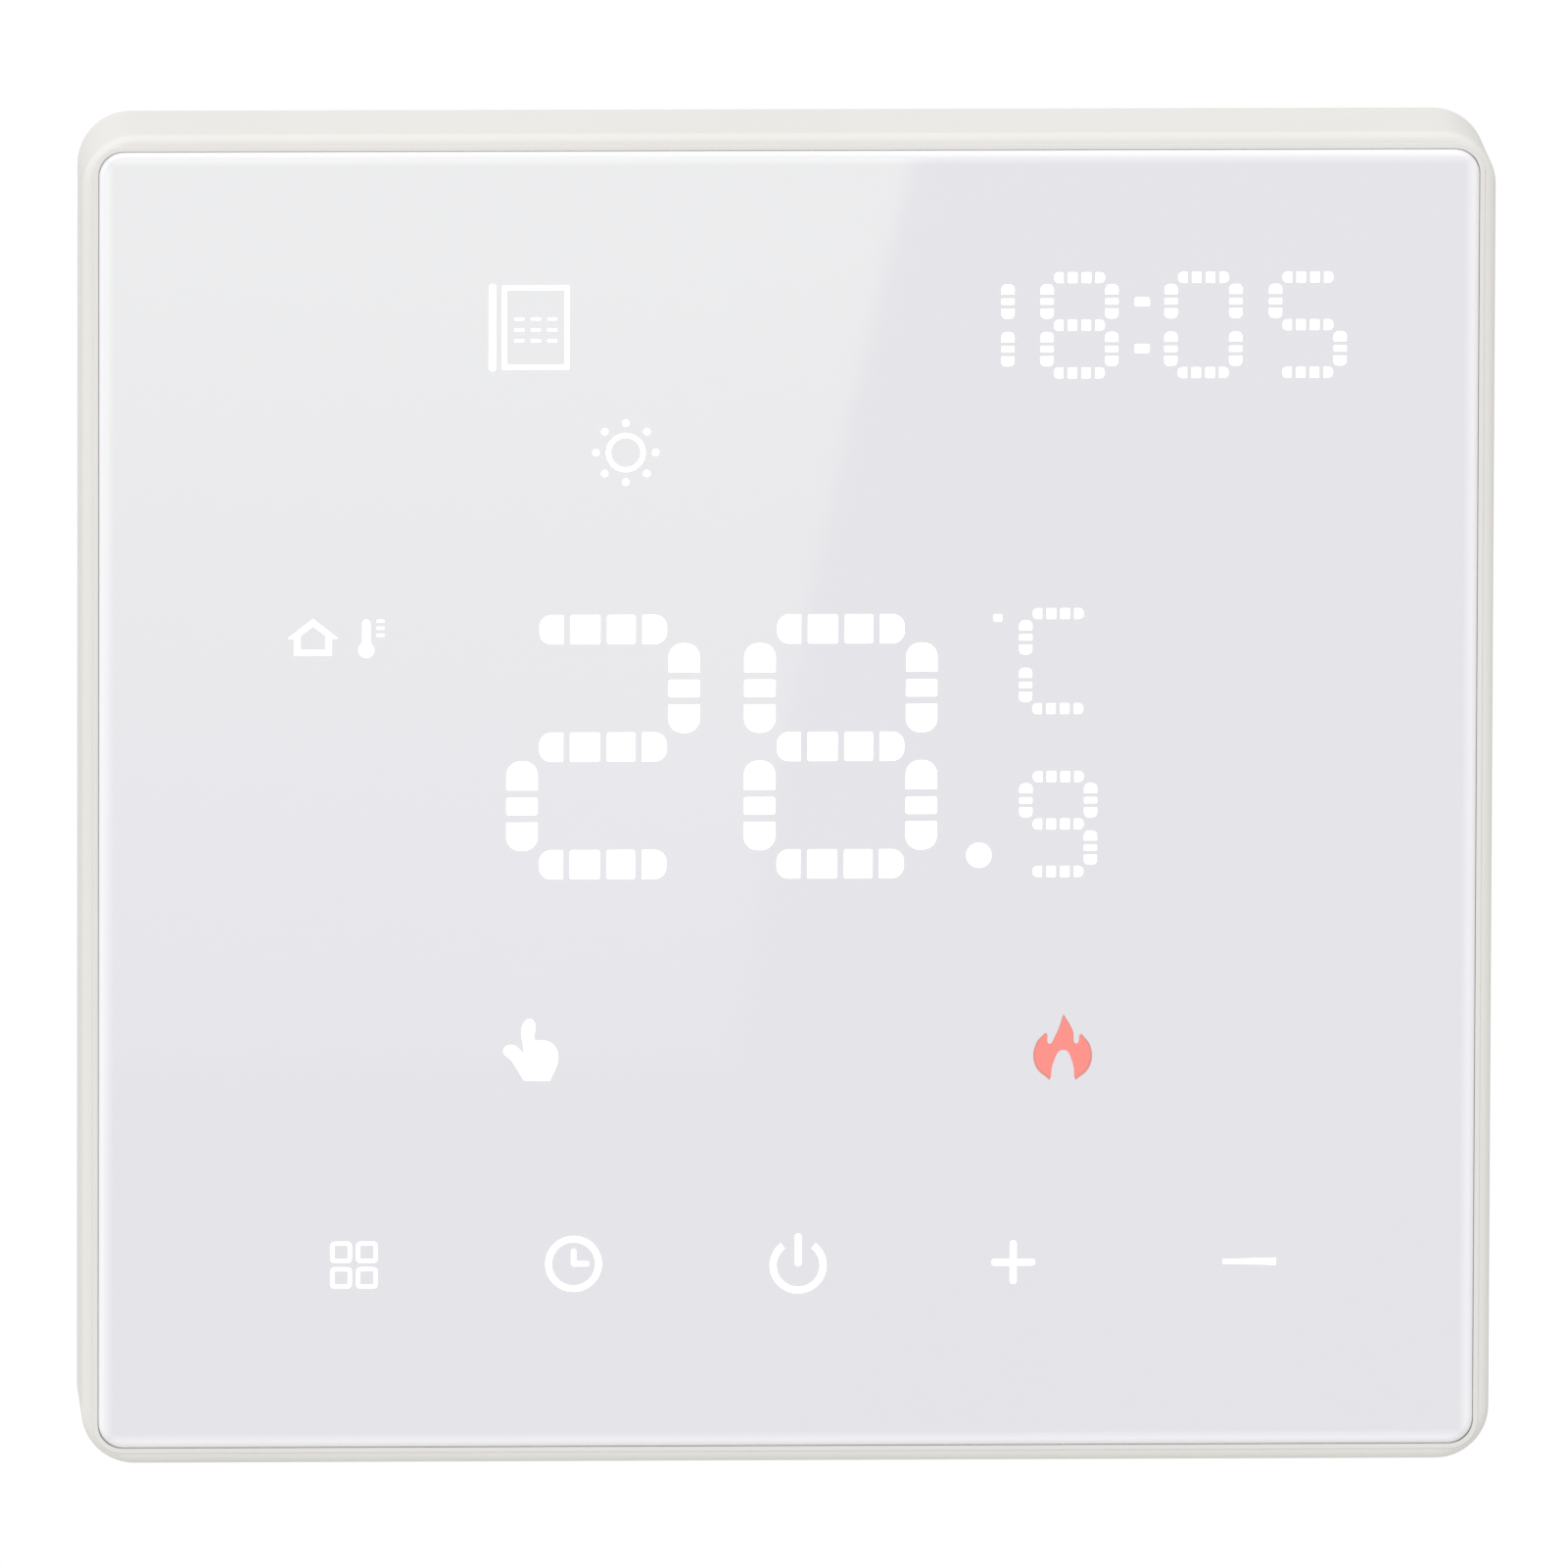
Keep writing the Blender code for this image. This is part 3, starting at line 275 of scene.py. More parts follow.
def platedMetal(name, look):
    # rolled or turned metal: streaks along one way, soft blotches and fine scratches
    color = look["color"]
    material, shader, tree = newMaterial(name, color, look["rough"], 1.0)
    streak = noiseAt(tree, objectPoint(tree, look.get("stretch", (1, 1, 1))), look.get("streak", 900), 5)
    blotch = noiseAt(tree, objectPoint(tree), look.get("blotch", 90), 4)
    tree.links.new(rampOf(tree, blotch, 0.3, 0.72, shaded(color, 0.86), shaded(color, 1.06)),
                   shader.inputs["Base Color"])
    tree.links.new(rangeOf(tree, streak, look["rough"] - 0.09, look["rough"] + 0.12),
                   shader.inputs["Roughness"])
    bumpFrom(tree, shader, streak, look.get("bump", 0.15), 0.00004)
    return material


plasticLooks = {
    "shellIvory": {"color": (0.805, 0.785, 0.75), "rough": 0.38, "bump": 0.07, "specular": 0.5},
    "baseWhite": {"color": (0.77, 0.755, 0.72), "rough": 0.46, "bump": 0.2, "grain": 3800},
    "coverGrey": {"color": (0.60, 0.60, 0.585), "rough": 0.5, "bump": 0.25, "grain": 3000},
    "chipBlack": {"color": (0.018, 0.018, 0.02), "rough": 0.5, "bump": 0.3, "grain": 6000},
    "maskBlack": {"color": (0.022, 0.022, 0.022), "rough": 0.62, "bump": 0.3},
    "relayBlue": {"color": (0.012, 0.055, 0.34), "rough": 0.34, "bump": 0.1},
    "blockGreen": {"color": (0.02, 0.25, 0.075), "rough": 0.42, "bump": 0.2, "grain": 3600},
    "boxYellow": {"color": (0.72, 0.43, 0.03), "rough": 0.33, "bump": 0.08},
    "bedding": {"color": (0.80, 0.785, 0.755), "rough": 0.6, "bump": 0.1},
    "filmWhite": {"color": (0.86, 0.86, 0.86), "rough": 0.55, "bump": 0.1},
    "sleeveBlack": {"color": (0.02, 0.025, 0.05), "rough": 0.3, "bump": 0.06},
    "varistorBlue": {"color": (0.015, 0.12, 0.36), "rough": 0.36, "bump": 0.5, "grain": 1400},
    "ferriteGrey": {"color": (0.045, 0.045, 0.047), "rough": 0.66, "bump": 0.5, "grain": 2600},
}
metalLooks = {
    "zincPlate": {"color": (0.63, 0.63, 0.60), "rough": 0.36, "stretch": (1, 1, 9), "blotch": 140},
    "screwNickel": {"color": (0.68, 0.665, 0.64), "rough": 0.28, "streak": 2600, "blotch": 300},
    "springGold": {"color": (0.80, 0.62, 0.31), "rough": 0.26, "streak": 3000, "blotch": 400},
    "clampBrass": {"color": (0.77, 0.55, 0.24), "rough": 0.33, "streak": 1500, "blotch": 250},
    "coilCopper": {"color": (0.62, 0.24, 0.10), "rough": 0.35, "streak": 2200, "stretch": (1, 6, 1)},
}
plastics = {name: mouldedPlastic(name, look) for name, look in plasticLooks.items()}
metals = {name: platedMetal(name, look) for name, look in metalLooks.items()}
print("materials made")


def trackLines(tree, point, axis, spacing, stretch):
    # fine parallel copper tracks, broken off where a long noise falls away
    lines = addNode(tree, "ShaderNodeTexWave", wave_type="BANDS", bands_direction=axis,
                    Scale=2 * math.pi / (20 * spacing))
    tree.links.new(point, lines.inputs["Vector"])
    mapping = addNode(tree, "ShaderNodeMapping")
    mapping.inputs["Scale"].default_value = stretch
    tree.links.new(point, mapping.inputs["Vector"])
    gate = rangeOf(tree, noiseAt(tree, mapping.outputs["Vector"], 100, 1), 0, 1, 0.54, 0.56)
    both = addNode(tree, "ShaderNodeMath", operation="MULTIPLY")
    tree.links.new(rangeOf(tree, lines.outputs["Fac"], 0, 1, 0.80, 0.86), both.inputs[0])
    tree.links.new(gate, both.inputs[1])
    return both.outputs[0]


def boardLacquer():
    # green solder mask: tracks along and across the board and small round vias lie a little lighter under it
    look = {"mask": (0.013, 0.155, 0.056), "over": (0.021, 0.215, 0.08), "spacing": 1.27 * mm,
            "cell": 3.4 * mm, "via": 0.1}
    material, shader, tree = newMaterial("boardLacquer", look["mask"], 0.3)
    point = objectPoint(tree)
    dots = addNode(tree, "ShaderNodeTexVoronoi", Scale=1 / look["cell"], Randomness=0.7, feature="F1")
    tree.links.new(point, dots.inputs["Vector"])
    copper = rangeOf(tree, dots.outputs["Distance"], 1, 0, look["via"], look["via"] * 1.2)
    for axis, stretch in (("X", (1.6, 1.0, 0.35)), ("Z", (0.35, 1.0, 1.6))):
        highest = addNode(tree, "ShaderNodeMath", operation="MAXIMUM")
        tree.links.new(copper, highest.inputs[0])
        tree.links.new(trackLines(tree, point, axis, look["spacing"], stretch), highest.inputs[1])
        copper = highest.outputs[0]
    mix = addNode(tree, "ShaderNodeMix", data_type="RGBA")
    tree.links.new(copper, mix.inputs["Factor"])
    cloud = noiseAt(tree, point, 60, 3)
    tree.links.new(rampOf(tree, cloud, 0.3, 0.7, shaded(look["mask"], 0.94), shaded(look["mask"], 1.06)),
                   mix.inputs[6])
    mix.inputs[7].default_value = (*look["over"], 1)
    tree.links.new(mix.outputs[2], shader.inputs["Base Color"])
    tree.links.new(rangeOf(tree, noiseAt(tree, point, 700, 3), 0.24, 0.38), shader.inputs["Roughness"])
    bumpFrom(tree, shader, copper, 0.3, 0.00003)
    shader.inputs["Coat Weight"].default_value = 0.4
    shader.inputs["Coat Roughness"].default_value = 0.15
    return material


def edgeCloseness(tree, point, halfX, halfZ, blend):
    # 0 inside a rectangle round the origin in X and Z, 1 beyond its edge
    parts = addNode(tree, "ShaderNodeSeparateXYZ")
    tree.links.new(point, parts.inputs[0])
    ends = []
    for axis, half in (("X", halfX), ("Z", halfZ)):
        size = addNode(tree, "ShaderNodeMath", operation="ABSOLUTE")
        tree.links.new(parts.outputs[axis], size.inputs[0])
        ends.append(rangeOf(tree, size.outputs[0], 0, 1, half, half + blend))
    highest = addNode(tree, "ShaderNodeMath", operation="MAXIMUM")
    for end, socket in zip(ends, highest.inputs):
        tree.links.new(end, socket)
    return highest.outputs[0]


def panelCoating():
    # back-printed float glass: even cool white, a clear glossy face and very faint ripple; the lighter band along
    # its edges is a painted highlight for the light the glass edge catches
    look = {"color": (0.80, 0.79, 0.835), "edge": (0.93, 0.925, 0.955), "highlightBand": 1.0 * mm, "gloss": 0.035}
    material, shader, tree = newMaterial("panelCoating", look["color"], look["gloss"])
    point = objectPoint(tree)
    cloud = noiseAt(tree, point, 14, 2)
    body = rampOf(tree, cloud, 0.25, 0.75, shaded(look["color"], 0.994), shaded(look["color"], 1.006))
    # painted highlight: the edge colour lightens a band about a millimetre wide inside the glass edges, in place of
    # light refracted in the edge
    edge = edgeCloseness(tree, point, panelHigh.x - look["highlightBand"], panelHigh.z - look["highlightBand"],
                         look["highlightBand"] * 0.6)
    mix = addNode(tree, "ShaderNodeMix", data_type="RGBA")
    mix.inputs[7].default_value = (*look["edge"], 1)
    tree.links.new(edge, mix.inputs["Factor"])
    tree.links.new(body, mix.inputs[6])
    tree.links.new(mix.outputs[2], shader.inputs["Base Color"])
    tree.links.new(rangeOf(tree, noiseAt(tree, point, 380, 3), 0.012, 0.03), shader.inputs["Roughness"])
    bumpFrom(tree, shader, noiseAt(tree, point, 55, 1), 0.02, 0.00002)
    shader.inputs["IOR"].default_value = 1.52
    shader.inputs["Coat Weight"].default_value = 0.25
    shader.inputs["Coat Roughness"].default_value = 0.02
    return material


def lightMaterial(name, color, strength):
    # light through the print: even, with a slight fall-off from cell to cell
    material, shader, tree = newMaterial(name, color, 0.08)
    cloud = noiseAt(tree, objectPoint(tree), 420, 2)
    tree.links.new(rampOf(tree, cloud, 0.3, 0.7, shaded(color, 0.97), color),
                   shader.inputs["Emission Color"])
    shader.inputs["Emission Strength"].default_value = strength
    return material


boardGreen = boardLacquer()
panelWhite = panelCoating()
signWhite = lightMaterial("signWhite", (1.0, 1.0, 1.0), 0.75)
flameEdge = lightMaterial("flameEdge", (0.66, 0.24, 0.21), 0.2)
flameSalmon = lightMaterial("flameSalmon", (0.80, 0.225, 0.195), 0.26)

nodeFinish = {
    "board_cover": plastics["coverGrey"], "diffuser_sheet": plastics["filmWhite"],
    "segment_mask": plastics["maskBlack"], "display_board": boardGreen, "power_board": boardGreen,
    "control_chip": plastics["chipBlack"], "driver_chip": plastics["chipBlack"], "buzzer": plastics["chipBlack"],
    "clock_capacitor": metals["screwNickel"], "room_sensor": plastics["chipBlack"],
    "link_header": plastics["chipBlack"], "link_socket": plastics["chipBlack"],
    "base_plate": plastics["baseWhite"], "mounting_plate": metals["zincPlate"], "power_box": plastics["baseWhite"],
    "relay_base": plastics["chipBlack"], "relay_case": plastics["relayBlue"], "relay_coil": metals["coilCopper"],
    "relay_yoke": metals["zincPlate"], "relay_contact": metals["clampBrass"], "relay_armature": metals["zincPlate"],
    "relay_blade": metals["clampBrass"], "transformer_core": plastics["ferriteGrey"],
    "transformer_coil": plastics["boxYellow"], "filter_capacitor": plastics["sleeveBlack"],
    "suppressor_capacitor": plastics["boxYellow"], "varistor": plastics["varistorBlue"],
    "fuse": plastics["chipBlack"], "terminal_housing": plastics["blockGreen"],
}


def finishFor(node):
    if node in nodeFinish:
        return nodeFinish[node]
    if "touch_spring" in node:
        return metals["springGold"]
    if "terminal_clamp" in node:
        return metals["clampBrass"]
    if "screw" in node:
        return metals["screwNickel"]
    return plastics["shellIvory"]


for nodeName, node in frame["nodes"].items():
    obj = node if isinstance(node, bpy.types.Object) else bpy.data.objects[nodeName]
    for slot in obj.material_slots:
        slot.material = finishFor(nodeName)
print("frame nodes finished")


def glassPanel():
    look = {"corner": 1.7 * mm, "edge": 0.5 * mm}
    panel = roundedBlock("glassPanel", panelLow, panelHigh, look["corner"], 10)
    bevelWhere(panel, endAt(panelLow.y), look["edge"], 5)
    bevelWhere(panel, endAt(panelHigh.y), 0.15 * mm, 2)
    finishPiece(panel, "front_unit", panelWhite, ("front_panel",), 50)


def panelSeal():
    # the pale bedding bead that fills the groove round the glass
    look = {"corner": 1.9 * mm, "width": 0.31 * mm, "front": 0.17 * mm}
    reach = Vector((look["width"], 0, look["width"]))
    low, high = panelLow - reach, panelHigh + reach
    low.y, high.y = panelLow.y + look["front"], panelHigh.y + 0.2 * mm
    seal = roundedBlock("panelSeal", low, high, look["corner"], 10)
    bevelWhere(seal, endAt(low.y), 0.08 * mm, 2)
    reach = Vector((0.02 * mm, 0, 0.02 * mm))
    low, high = panelLow + reach, panelHigh - reach
    low.y, high.y = panelLow.y - mm, panelHigh.y + mm
    carve(seal, roundedBlock("opening", low, high, look["corner"] - look["width"], 10))
    finishPiece(seal, "front_unit", plastics["bedding"])


glassPanel()
panelSeal()
print("glass panel made")


def housingShell():
    look = {"corner": 3.4 * mm, "wall": 1.6 * mm, "lip": 0.7 * mm, "lipRound": 0.6 * mm,
            "gap": 0.3 * mm, "ledge": 4.4 * mm, "land": 6.6 * mm}
    over = 1 * mm
    wall, gap = look["wall"], look["gap"]
    shell = roundedBlock("housingShell", shellLow, shellHigh, look["corner"], 14)
    bevelWhere(shell, endAt(shellLow.y), look["lipRound"], 5)
    bevelWhere(shell, endAt(shellHigh.y), 0.25 * mm, 2)
    pocketReach = Vector((gap, 0, gap))
    ledgeFront = panelHigh.y + gap
    ledgeRear = span("display_board")[0].y - gap
    pocketLow = panelLow - pocketReach
    pocketHigh = panelHigh + pocketReach
    pocketLow.y, pocketHigh.y = shellLow.y - over, ledgeFront
    carve(shell, roundedBlock("pocket", pocketLow, pocketHigh, look["corner"] - look["lip"] - gap / 2, 10))
    inset = Vector((wall, 0, wall))
    cavityLow, cavityHigh = shellLow + inset, shellHigh - inset
    cavityLow.y, cavityHigh.y = ledgeRear, shellHigh.y + over
    carve(shell, roundedBlock("cavity", cavityLow, cavityHigh, look["corner"] - wall, 8))
    ledge = look["ledge"]
    for narrowX, narrowZ in ((0, look["land"]), (look["land"], 0)):
        cut = Vector((wall + ledge + narrowX, 0, wall + ledge + narrowZ))
        low, high = shellLow + cut, shellHigh - cut
        low.y, high.y = ledgeFront - over, ledgeRear + over
        carve(shell, addBlock("window", low, high))
    return shell


shell = housingShell()


def shellDetails(shell):
    # screw posts, catch bars, vents and the release slot, all where the frame has them
    look = {"post": 2.4 * mm, "hole": 1.4 * mm, "postLength": 1.2 * mm, "catchAt": 22 * mm,
            "catchHalf": 5 * mm,
            "ventAt": 24 * mm, "ventPitch": 3.2 * mm, "vents": 6, "ventHalf": 0.7 * mm, "ventLevel": -7.95 * mm,
            "ventReach": 2 * mm, "deep": 2.6 * mm, "release": 3 * mm}
    postRear = span("board_cover")[0].y + 2 * mm - 0.3 * mm
    postFront = span("display_board")[0].y - look["postLength"]
    for number in range(1, 5):
        low, high = span(f"cover_screw_{number}")
        x, z = (low.x + high.x) / 2, (low.z + high.z) / 2
        carve(shell, addRod("post", (x, postFront, z), (x, postRear, z), look["post"], 32), "UNION")
        carve(shell, addRod("hole", (x, postFront, z), (x, postRear + mm, z), look["hole"], 24))
    top = shellHigh.z - 1.6 * mm
    hinge = frameJoint("front_swing")
    for side in (-1, 1):
        low = (side * look["catchAt"] - look["catchHalf"], hinge.y + 1.1 * mm, hinge.z + 0.3 * mm)
        high = (side * look["catchAt"] + look["catchHalf"], hinge.y + 2.1 * mm, top + 0.8 * mm)
        carve(shell, bevelWhere(addBlock("bar", low, high), alongX, 0.2 * mm, 2), "UNION")
    slots = []
    front, rear = look["ventLevel"] - look["ventReach"], look["ventLevel"] + look["ventReach"]
    below, above = shellLow.z - mm, shellLow.z + look["deep"]
    for side in (-1, 1):
        for index in range(look["vents"]):
            x = side * look["ventAt"] + (index - (look["vents"] - 1) / 2) * look["ventPitch"]
            slots.append(roundedBlockZ("vent", (x - look["ventHalf"], front, below),
                                       (x + look["ventHalf"], rear, above), 0.68 * mm))
    slots.append(addBlock("release", (-look["release"], -4.0 * mm, below),
                          (look["release"], -2.4 * mm, above)))
    carve(shell, joinAll("slots", slots))
    return shell


shellDetails(shell)
finishPiece(shell, "front_unit", plastics["shellIvory"], ("front_housing",), 40)
print("housing shell made")


def middleOf(node):
    low, high = span(node)
    return (low + high) / 2


def numberMark(text, size, depth, place, turned):
    # a raised figure facing +Y (turned) or -Y
    freshen()
    bpy.ops.object.text_add(location=(0, 0, 0))
    mark = bpy.context.active_object
    mark.data.body = text
    mark.data.size = size
    mark.data.extrude = depth / 2
    mark.data.align_x, mark.data.align_y = "CENTER", "CENTER"
    mark.data.resolution_u = 4
    pickOnly(mark)
    bpy.ops.object.convert(target="MESH")
    mark = bpy.context.active_object
    turn = Matrix.Rotation(math.radians(180 if turned else 0), 4, "Z") @ Matrix.Rotation(math.radians(90),
        4, "X")
    mark.data.transform(Matrix.Translation(place) @ turn)
    return mark


def powerBox():
    look = {"corner": 2.5 * mm, "wall": 1.6 * mm, "rearRound": 1.1 * mm, "stepLevel": -11.5 * mm,
            "boss": 2.7 * mm, "bossLength": 12 * mm, "groove": 0.4 * mm, "vents": 5, "ventPitch": 5 * mm}
    low, high = span("power_box")
    board = span("power_board")[1].y
    wall, over = look["wall"], 1 * mm
    box = roundedBlock("powerBox", low, high, look["corner"], 10)
    bevelWhere(box, endAt(high.y), look["rearRound"], 5)
    step = addBlock("step", (low.x - over, board, low.z - over), (high.x + over, high.y + over,
        look["stepLevel"]))
    carve(box, step)
    stepEdge = lambda first, second: (alongX(first, second) and abs(first.y - high.y) < 1e-5
                                      and abs(first.z - look["stepLevel"]) < 1e-5)
    bevelWhere(box, stepEdge, 0.8 * mm, 4)
    carve(box, roundedBlock("chamber", (low.x + wall, low.y - over, look["stepLevel"] + wall),
                            (high.x - wall, high.y - wall, high.z - wall), 1 * mm, 4))
    carve(box, addBlock("lower", (low.x + wall, low.y - over, low.z + wall),
                        (high.x - wall, board + over, look["stepLevel"] + wall + over)))
    bosses, holes = [], []
    for number in range(1, 5):
        spot = middleOf(f"box_screw_{number}")
        bosses.append(addRod("boss", (spot.x, 0.3 * mm, spot.z), (spot.x, look["bossLength"], spot.z),
                             look["boss"], 40))
        holes.append(addRod("hole", (spot.x, -over, spot.z), (spot.x, look["bossLength"] - wall, spot.z),
                            1.55 * mm, 32))
    carve(box, joinAll("bosses", bosses), "UNION")
    carve(box, joinAll("holes", holes))
    cuts = []
    for index in range(look["vents"]):
        x = (index - 2) * look["ventPitch"]
        cuts.append(roundedBlockZ("vent", (x - 0.8 * mm, 9.85 * mm, high.z - wall - over),
                                  (x + 0.8 * mm, 19.85 * mm, high.z + over), 0.75 * mm))
    # finger grooves down both sides and a shallow panel on the back
    for side in (-1, 1):
        for index in range(6):
            z = -4 * mm + index * 3.6 * mm
            edge = side * high.x
            cuts.append(bevelWhere(addBlock("groove", (edge - look["groove"], 8 * mm, z),
                                            (edge + look["groove"], 25 * mm, z + 1.2 * mm)),
                                   lambda first, second: alongY(first, second) or alongZ(first,
                                       second), 0.3 * mm, 3))
    cuts.append(roundedBlock("panel", (-17 * mm, high.y - 0.35 * mm, -4 * mm),
                             (17 * mm, high.y + over, 19 * mm), 1.5 * mm, 6))
    carve(box, joinAll("cuts", cuts))
    extras = []
    # terminal figures on the step's rear edge, and a moulded wire guide in the panel
    for number in range(1, 7):
        spot = middleOf(f"terminal_screw_{number}")
        extras.append(numberMark(str(number), 3.2 * mm, 0.5 * mm, (spot.x, high.y, -7.6 * mm), True))
    for index in range(3):
        x = (-11 + index * 11) * mm
        extras.append(roundedBlock("rib", (x - 0.4 * mm, high.y - 0.5 * mm, -1.5 * mm),
                                   (x + 0.4 * mm, high.y - 0.08 * mm, 16.5 * mm), 0.38 * mm, 5))
    for side in (-1, 1):
        extras.append(addRod("pip", (side * 20.6 * mm, high.y - 0.3 * mm, 20.6 * mm),
                             (side * 20.6 * mm, high.y + 0.25 * mm, 20.6 * mm), 1.3 * mm, 32))
    box = joinAll("powerBox", [box, *extras])
    finishPiece(box, "wall_unit", plastics["baseWhite"], ("power_box",), 40)


def terminalBlock():
    look = {"edge": 0.3 * mm, "entry": 3.4 * mm, "funnel": 4.6 * mm, "neck": 1.5 * mm, "head": 2.05 * mm,
            "divider": 0.5 * mm}
    low, high = span("terminal_housing")
    over = 1 * mm
    block = addBlock("terminalBlock", low, high)
    bevelWhere(block, lambda first, second: True, look["edge"], 3)
    cuts = []
    for number in range(1, 7):
        clampLow = span(f"terminal_clamp_{number}")[0]
        spot = middleOf(f"terminal_screw_{number}")
        x, y = spot.x, clampLow.y + 3 * mm
        cuts.append(addBlock("room", (x - 2.8 * mm, low.y + 1.5 * mm, low.z + 1.2 * mm),
                             (x + 2.8 * mm, high.y - 2.3 * mm, high.z - 2.2 * mm)))
        half = look["entry"] / 2
        cuts.append(roundedBlockZ("entry", (x - half, y - half, low.z - over),
                                  (x + half, y + half, low.z + 2 * mm), 0.5 * mm))
        half = look["funnel"] / 2
        cuts.append(roundedBlockZ("funnel", (x - half, y - half, low.z - over),
                                  (x + half, y + half, low.z + 0.45 * mm), 0.9 * mm))
        cuts.append(addRod("neck", (x, high.y - 3 * mm, spot.z), (x, high.y + over, spot.z), look["neck"],
                           40))
        cuts.append(addRod("head", (x, high.y - 1.8 * mm, spot.z), (x, high.y + over, spot.z), look["head"],
                           48))
        cuts.append(addRod("flare", (x, high.y - 0.4 * mm, spot.z), (x, high.y + 0.4 * mm, spot.z),
                           look["head"] - 0.05 * mm, 48,
                           look["head"] + 0.8 * mm))
        # the cutters of one pole reach into each other, so each cuts by itself
        for tool in cuts:
            carve(block, tool)
        cuts = []
    for number in range(1, 6):
        x = (middleOf(f"terminal_screw_{number}").x + middleOf(f"terminal_screw_{number + 1}").x) / 2
        half = look["divider"] / 2
        cuts.append(addBlock("divider", (x - half, high.y - 0.5 * mm, low.z - over),
                             (x + half, high.y + over, high.z - 1.6 * mm)))
    carve(block, joinAll("cuts", cuts))
    marks = [numberMark(str(number), 2.1 * mm, 0.3 * mm, (middleOf(f"terminal_screw_{number}").x, high.y,
        high.z - 1.75 * mm), True)
             for number in range(1, 7)]
    block = joinAll("terminalBlock", [block, *marks])
    finishPiece(block, "wall_unit", plastics["blockGreen"], ("terminal_housing",), 40)


def threadOn(radius, pitch, low, high, depth):
    # a helical ridge round Z between two heights
    freshen()
    bpy.ops.mesh.primitive_circle_add(vertices=3, radius=depth * 1.1, location=(radius, 0, low),
                                      rotation=(math.radians(90), math.radians(90), 0))
    ridge = bakePlace(bpy.context.active_object)
    turns = int((high - low) / pitch)
    applyModifier(ridge, "SCREW", axis="Z", angle=2 * math.pi, screw_offset=pitch, iterations=turns,
                  steps=24, render_steps=24, use_merge_vertices=True, merge_threshold=1e-7)
    pickOnly(ridge)
    bpy.ops.object.mode_set(mode="EDIT")
    bpy.ops.mesh.select_all(action="SELECT")
    bpy.ops.mesh.fill_holes(sides=3)
    bpy.ops.mesh.normals_make_consistent(inside=False)
    bpy.ops.object.mode_set(mode="OBJECT")
    return ridge


screwLooks = {
    "wall": {"head": 3.4 * mm, "rise": 2.0 * mm, "shank": 1.75 * mm, "pitch": 0.75 * mm, "round": 1.3 * mm,
             "slots": (0, 90)},
    "box": {"head": 2.5 * mm, "rise": 1.25 * mm, "shank": 1.25 * mm, "pitch": 0.9 * mm, "round": 0.15 * mm,
            "slots": (0, 90), "sunk": True},
    "cover": {"head": 2.1 * mm, "rise": 0.7 * mm, "shank": 1.1 * mm, "pitch": 0.6 * mm, "round": 0.4 * mm,
              "slots": (0, 90)},
    "terminal": {"head": 1.75 * mm, "rise": 1.3 * mm, "shank": 1.2 * mm, "pitch": 0.5 * mm,
                 "round": 0.35 * mm, "slots": (0,)},
}


def screwTemplate(kind, length):
    # head up, shank below z = 0
    look = screwLooks[kind]
    head, rise, shank = look["head"], look["rise"], look["shank"]
    under = shank if look.get("sunk") else head
    cap = addRod("head", (0, 0, 0), (0, 0, rise), under, 48, head)
    bevelWhere(cap, lambda first, second: abs(first.z - rise) < 1e-7 and abs(second.z - rise) < 1e-7,
               look["round"], 5)
    for angle in look["slots"]:
        reach = head * (0.56 if len(look["slots"]) > 1 else 1.3)
        tool = addBlock("slot", (-reach, -head * 0.12, rise * 0.45), (reach, head * 0.12, rise + mm))
        tool.data.transform(Matrix.Rotation(math.radians(angle), 4, "Z"))
        carve(cap, tool)
    core = addRod("core", (0, 0, -length), (0, 0, 0.2 * mm if not look.get("sunk") else 0), shank * 0.84,
                  32)
    bevelWhere(core, lambda first, second: first.z < -length + 1e-6 and second.z < -length + 1e-6,
               shank * 0.4, 3)
    thread = threadOn(shank * 0.84, look["pitch"], -length + shank * 0.8, -1.1 * shank, shank * 0.2)
    return joinAll(kind + "Screw", [cap, core, thread])


def placeScrews(kind, names, body):
    # each screw is a copy of one template, turned a little so the slots differ
    low, high = span(names[0])
    look = screwLooks[kind]
    facesBack = kind in ("cover", "terminal")
    length = (high.y - low.y) - look["rise"]
    template = screwTemplate(kind, length)
    for index, name in enumerate(names):
        low, high = span(name)
        seat = high.y - look["rise"] if facesBack else low.y + look["rise"]
        spin = Matrix.Rotation(math.radians(17 + 41 * index if len(look["slots"]) > 1 else 0), 4, "Z")
        turn = Matrix.Rotation(math.radians(-90 if facesBack else 90), 4, "X")
        screw = copyTo(template, (0, 0, 0))
        screw.data.transform(Matrix.Translation(((low.x + high.x) / 2, seat,
                                                 (low.z + high.z) / 2)) @ turn @ spin)
        screw.name = name + "Detail"
        finishPiece(screw, body(index), metals["screwNickel"], (name,), 30)
    bpy.data.objects.remove(template)


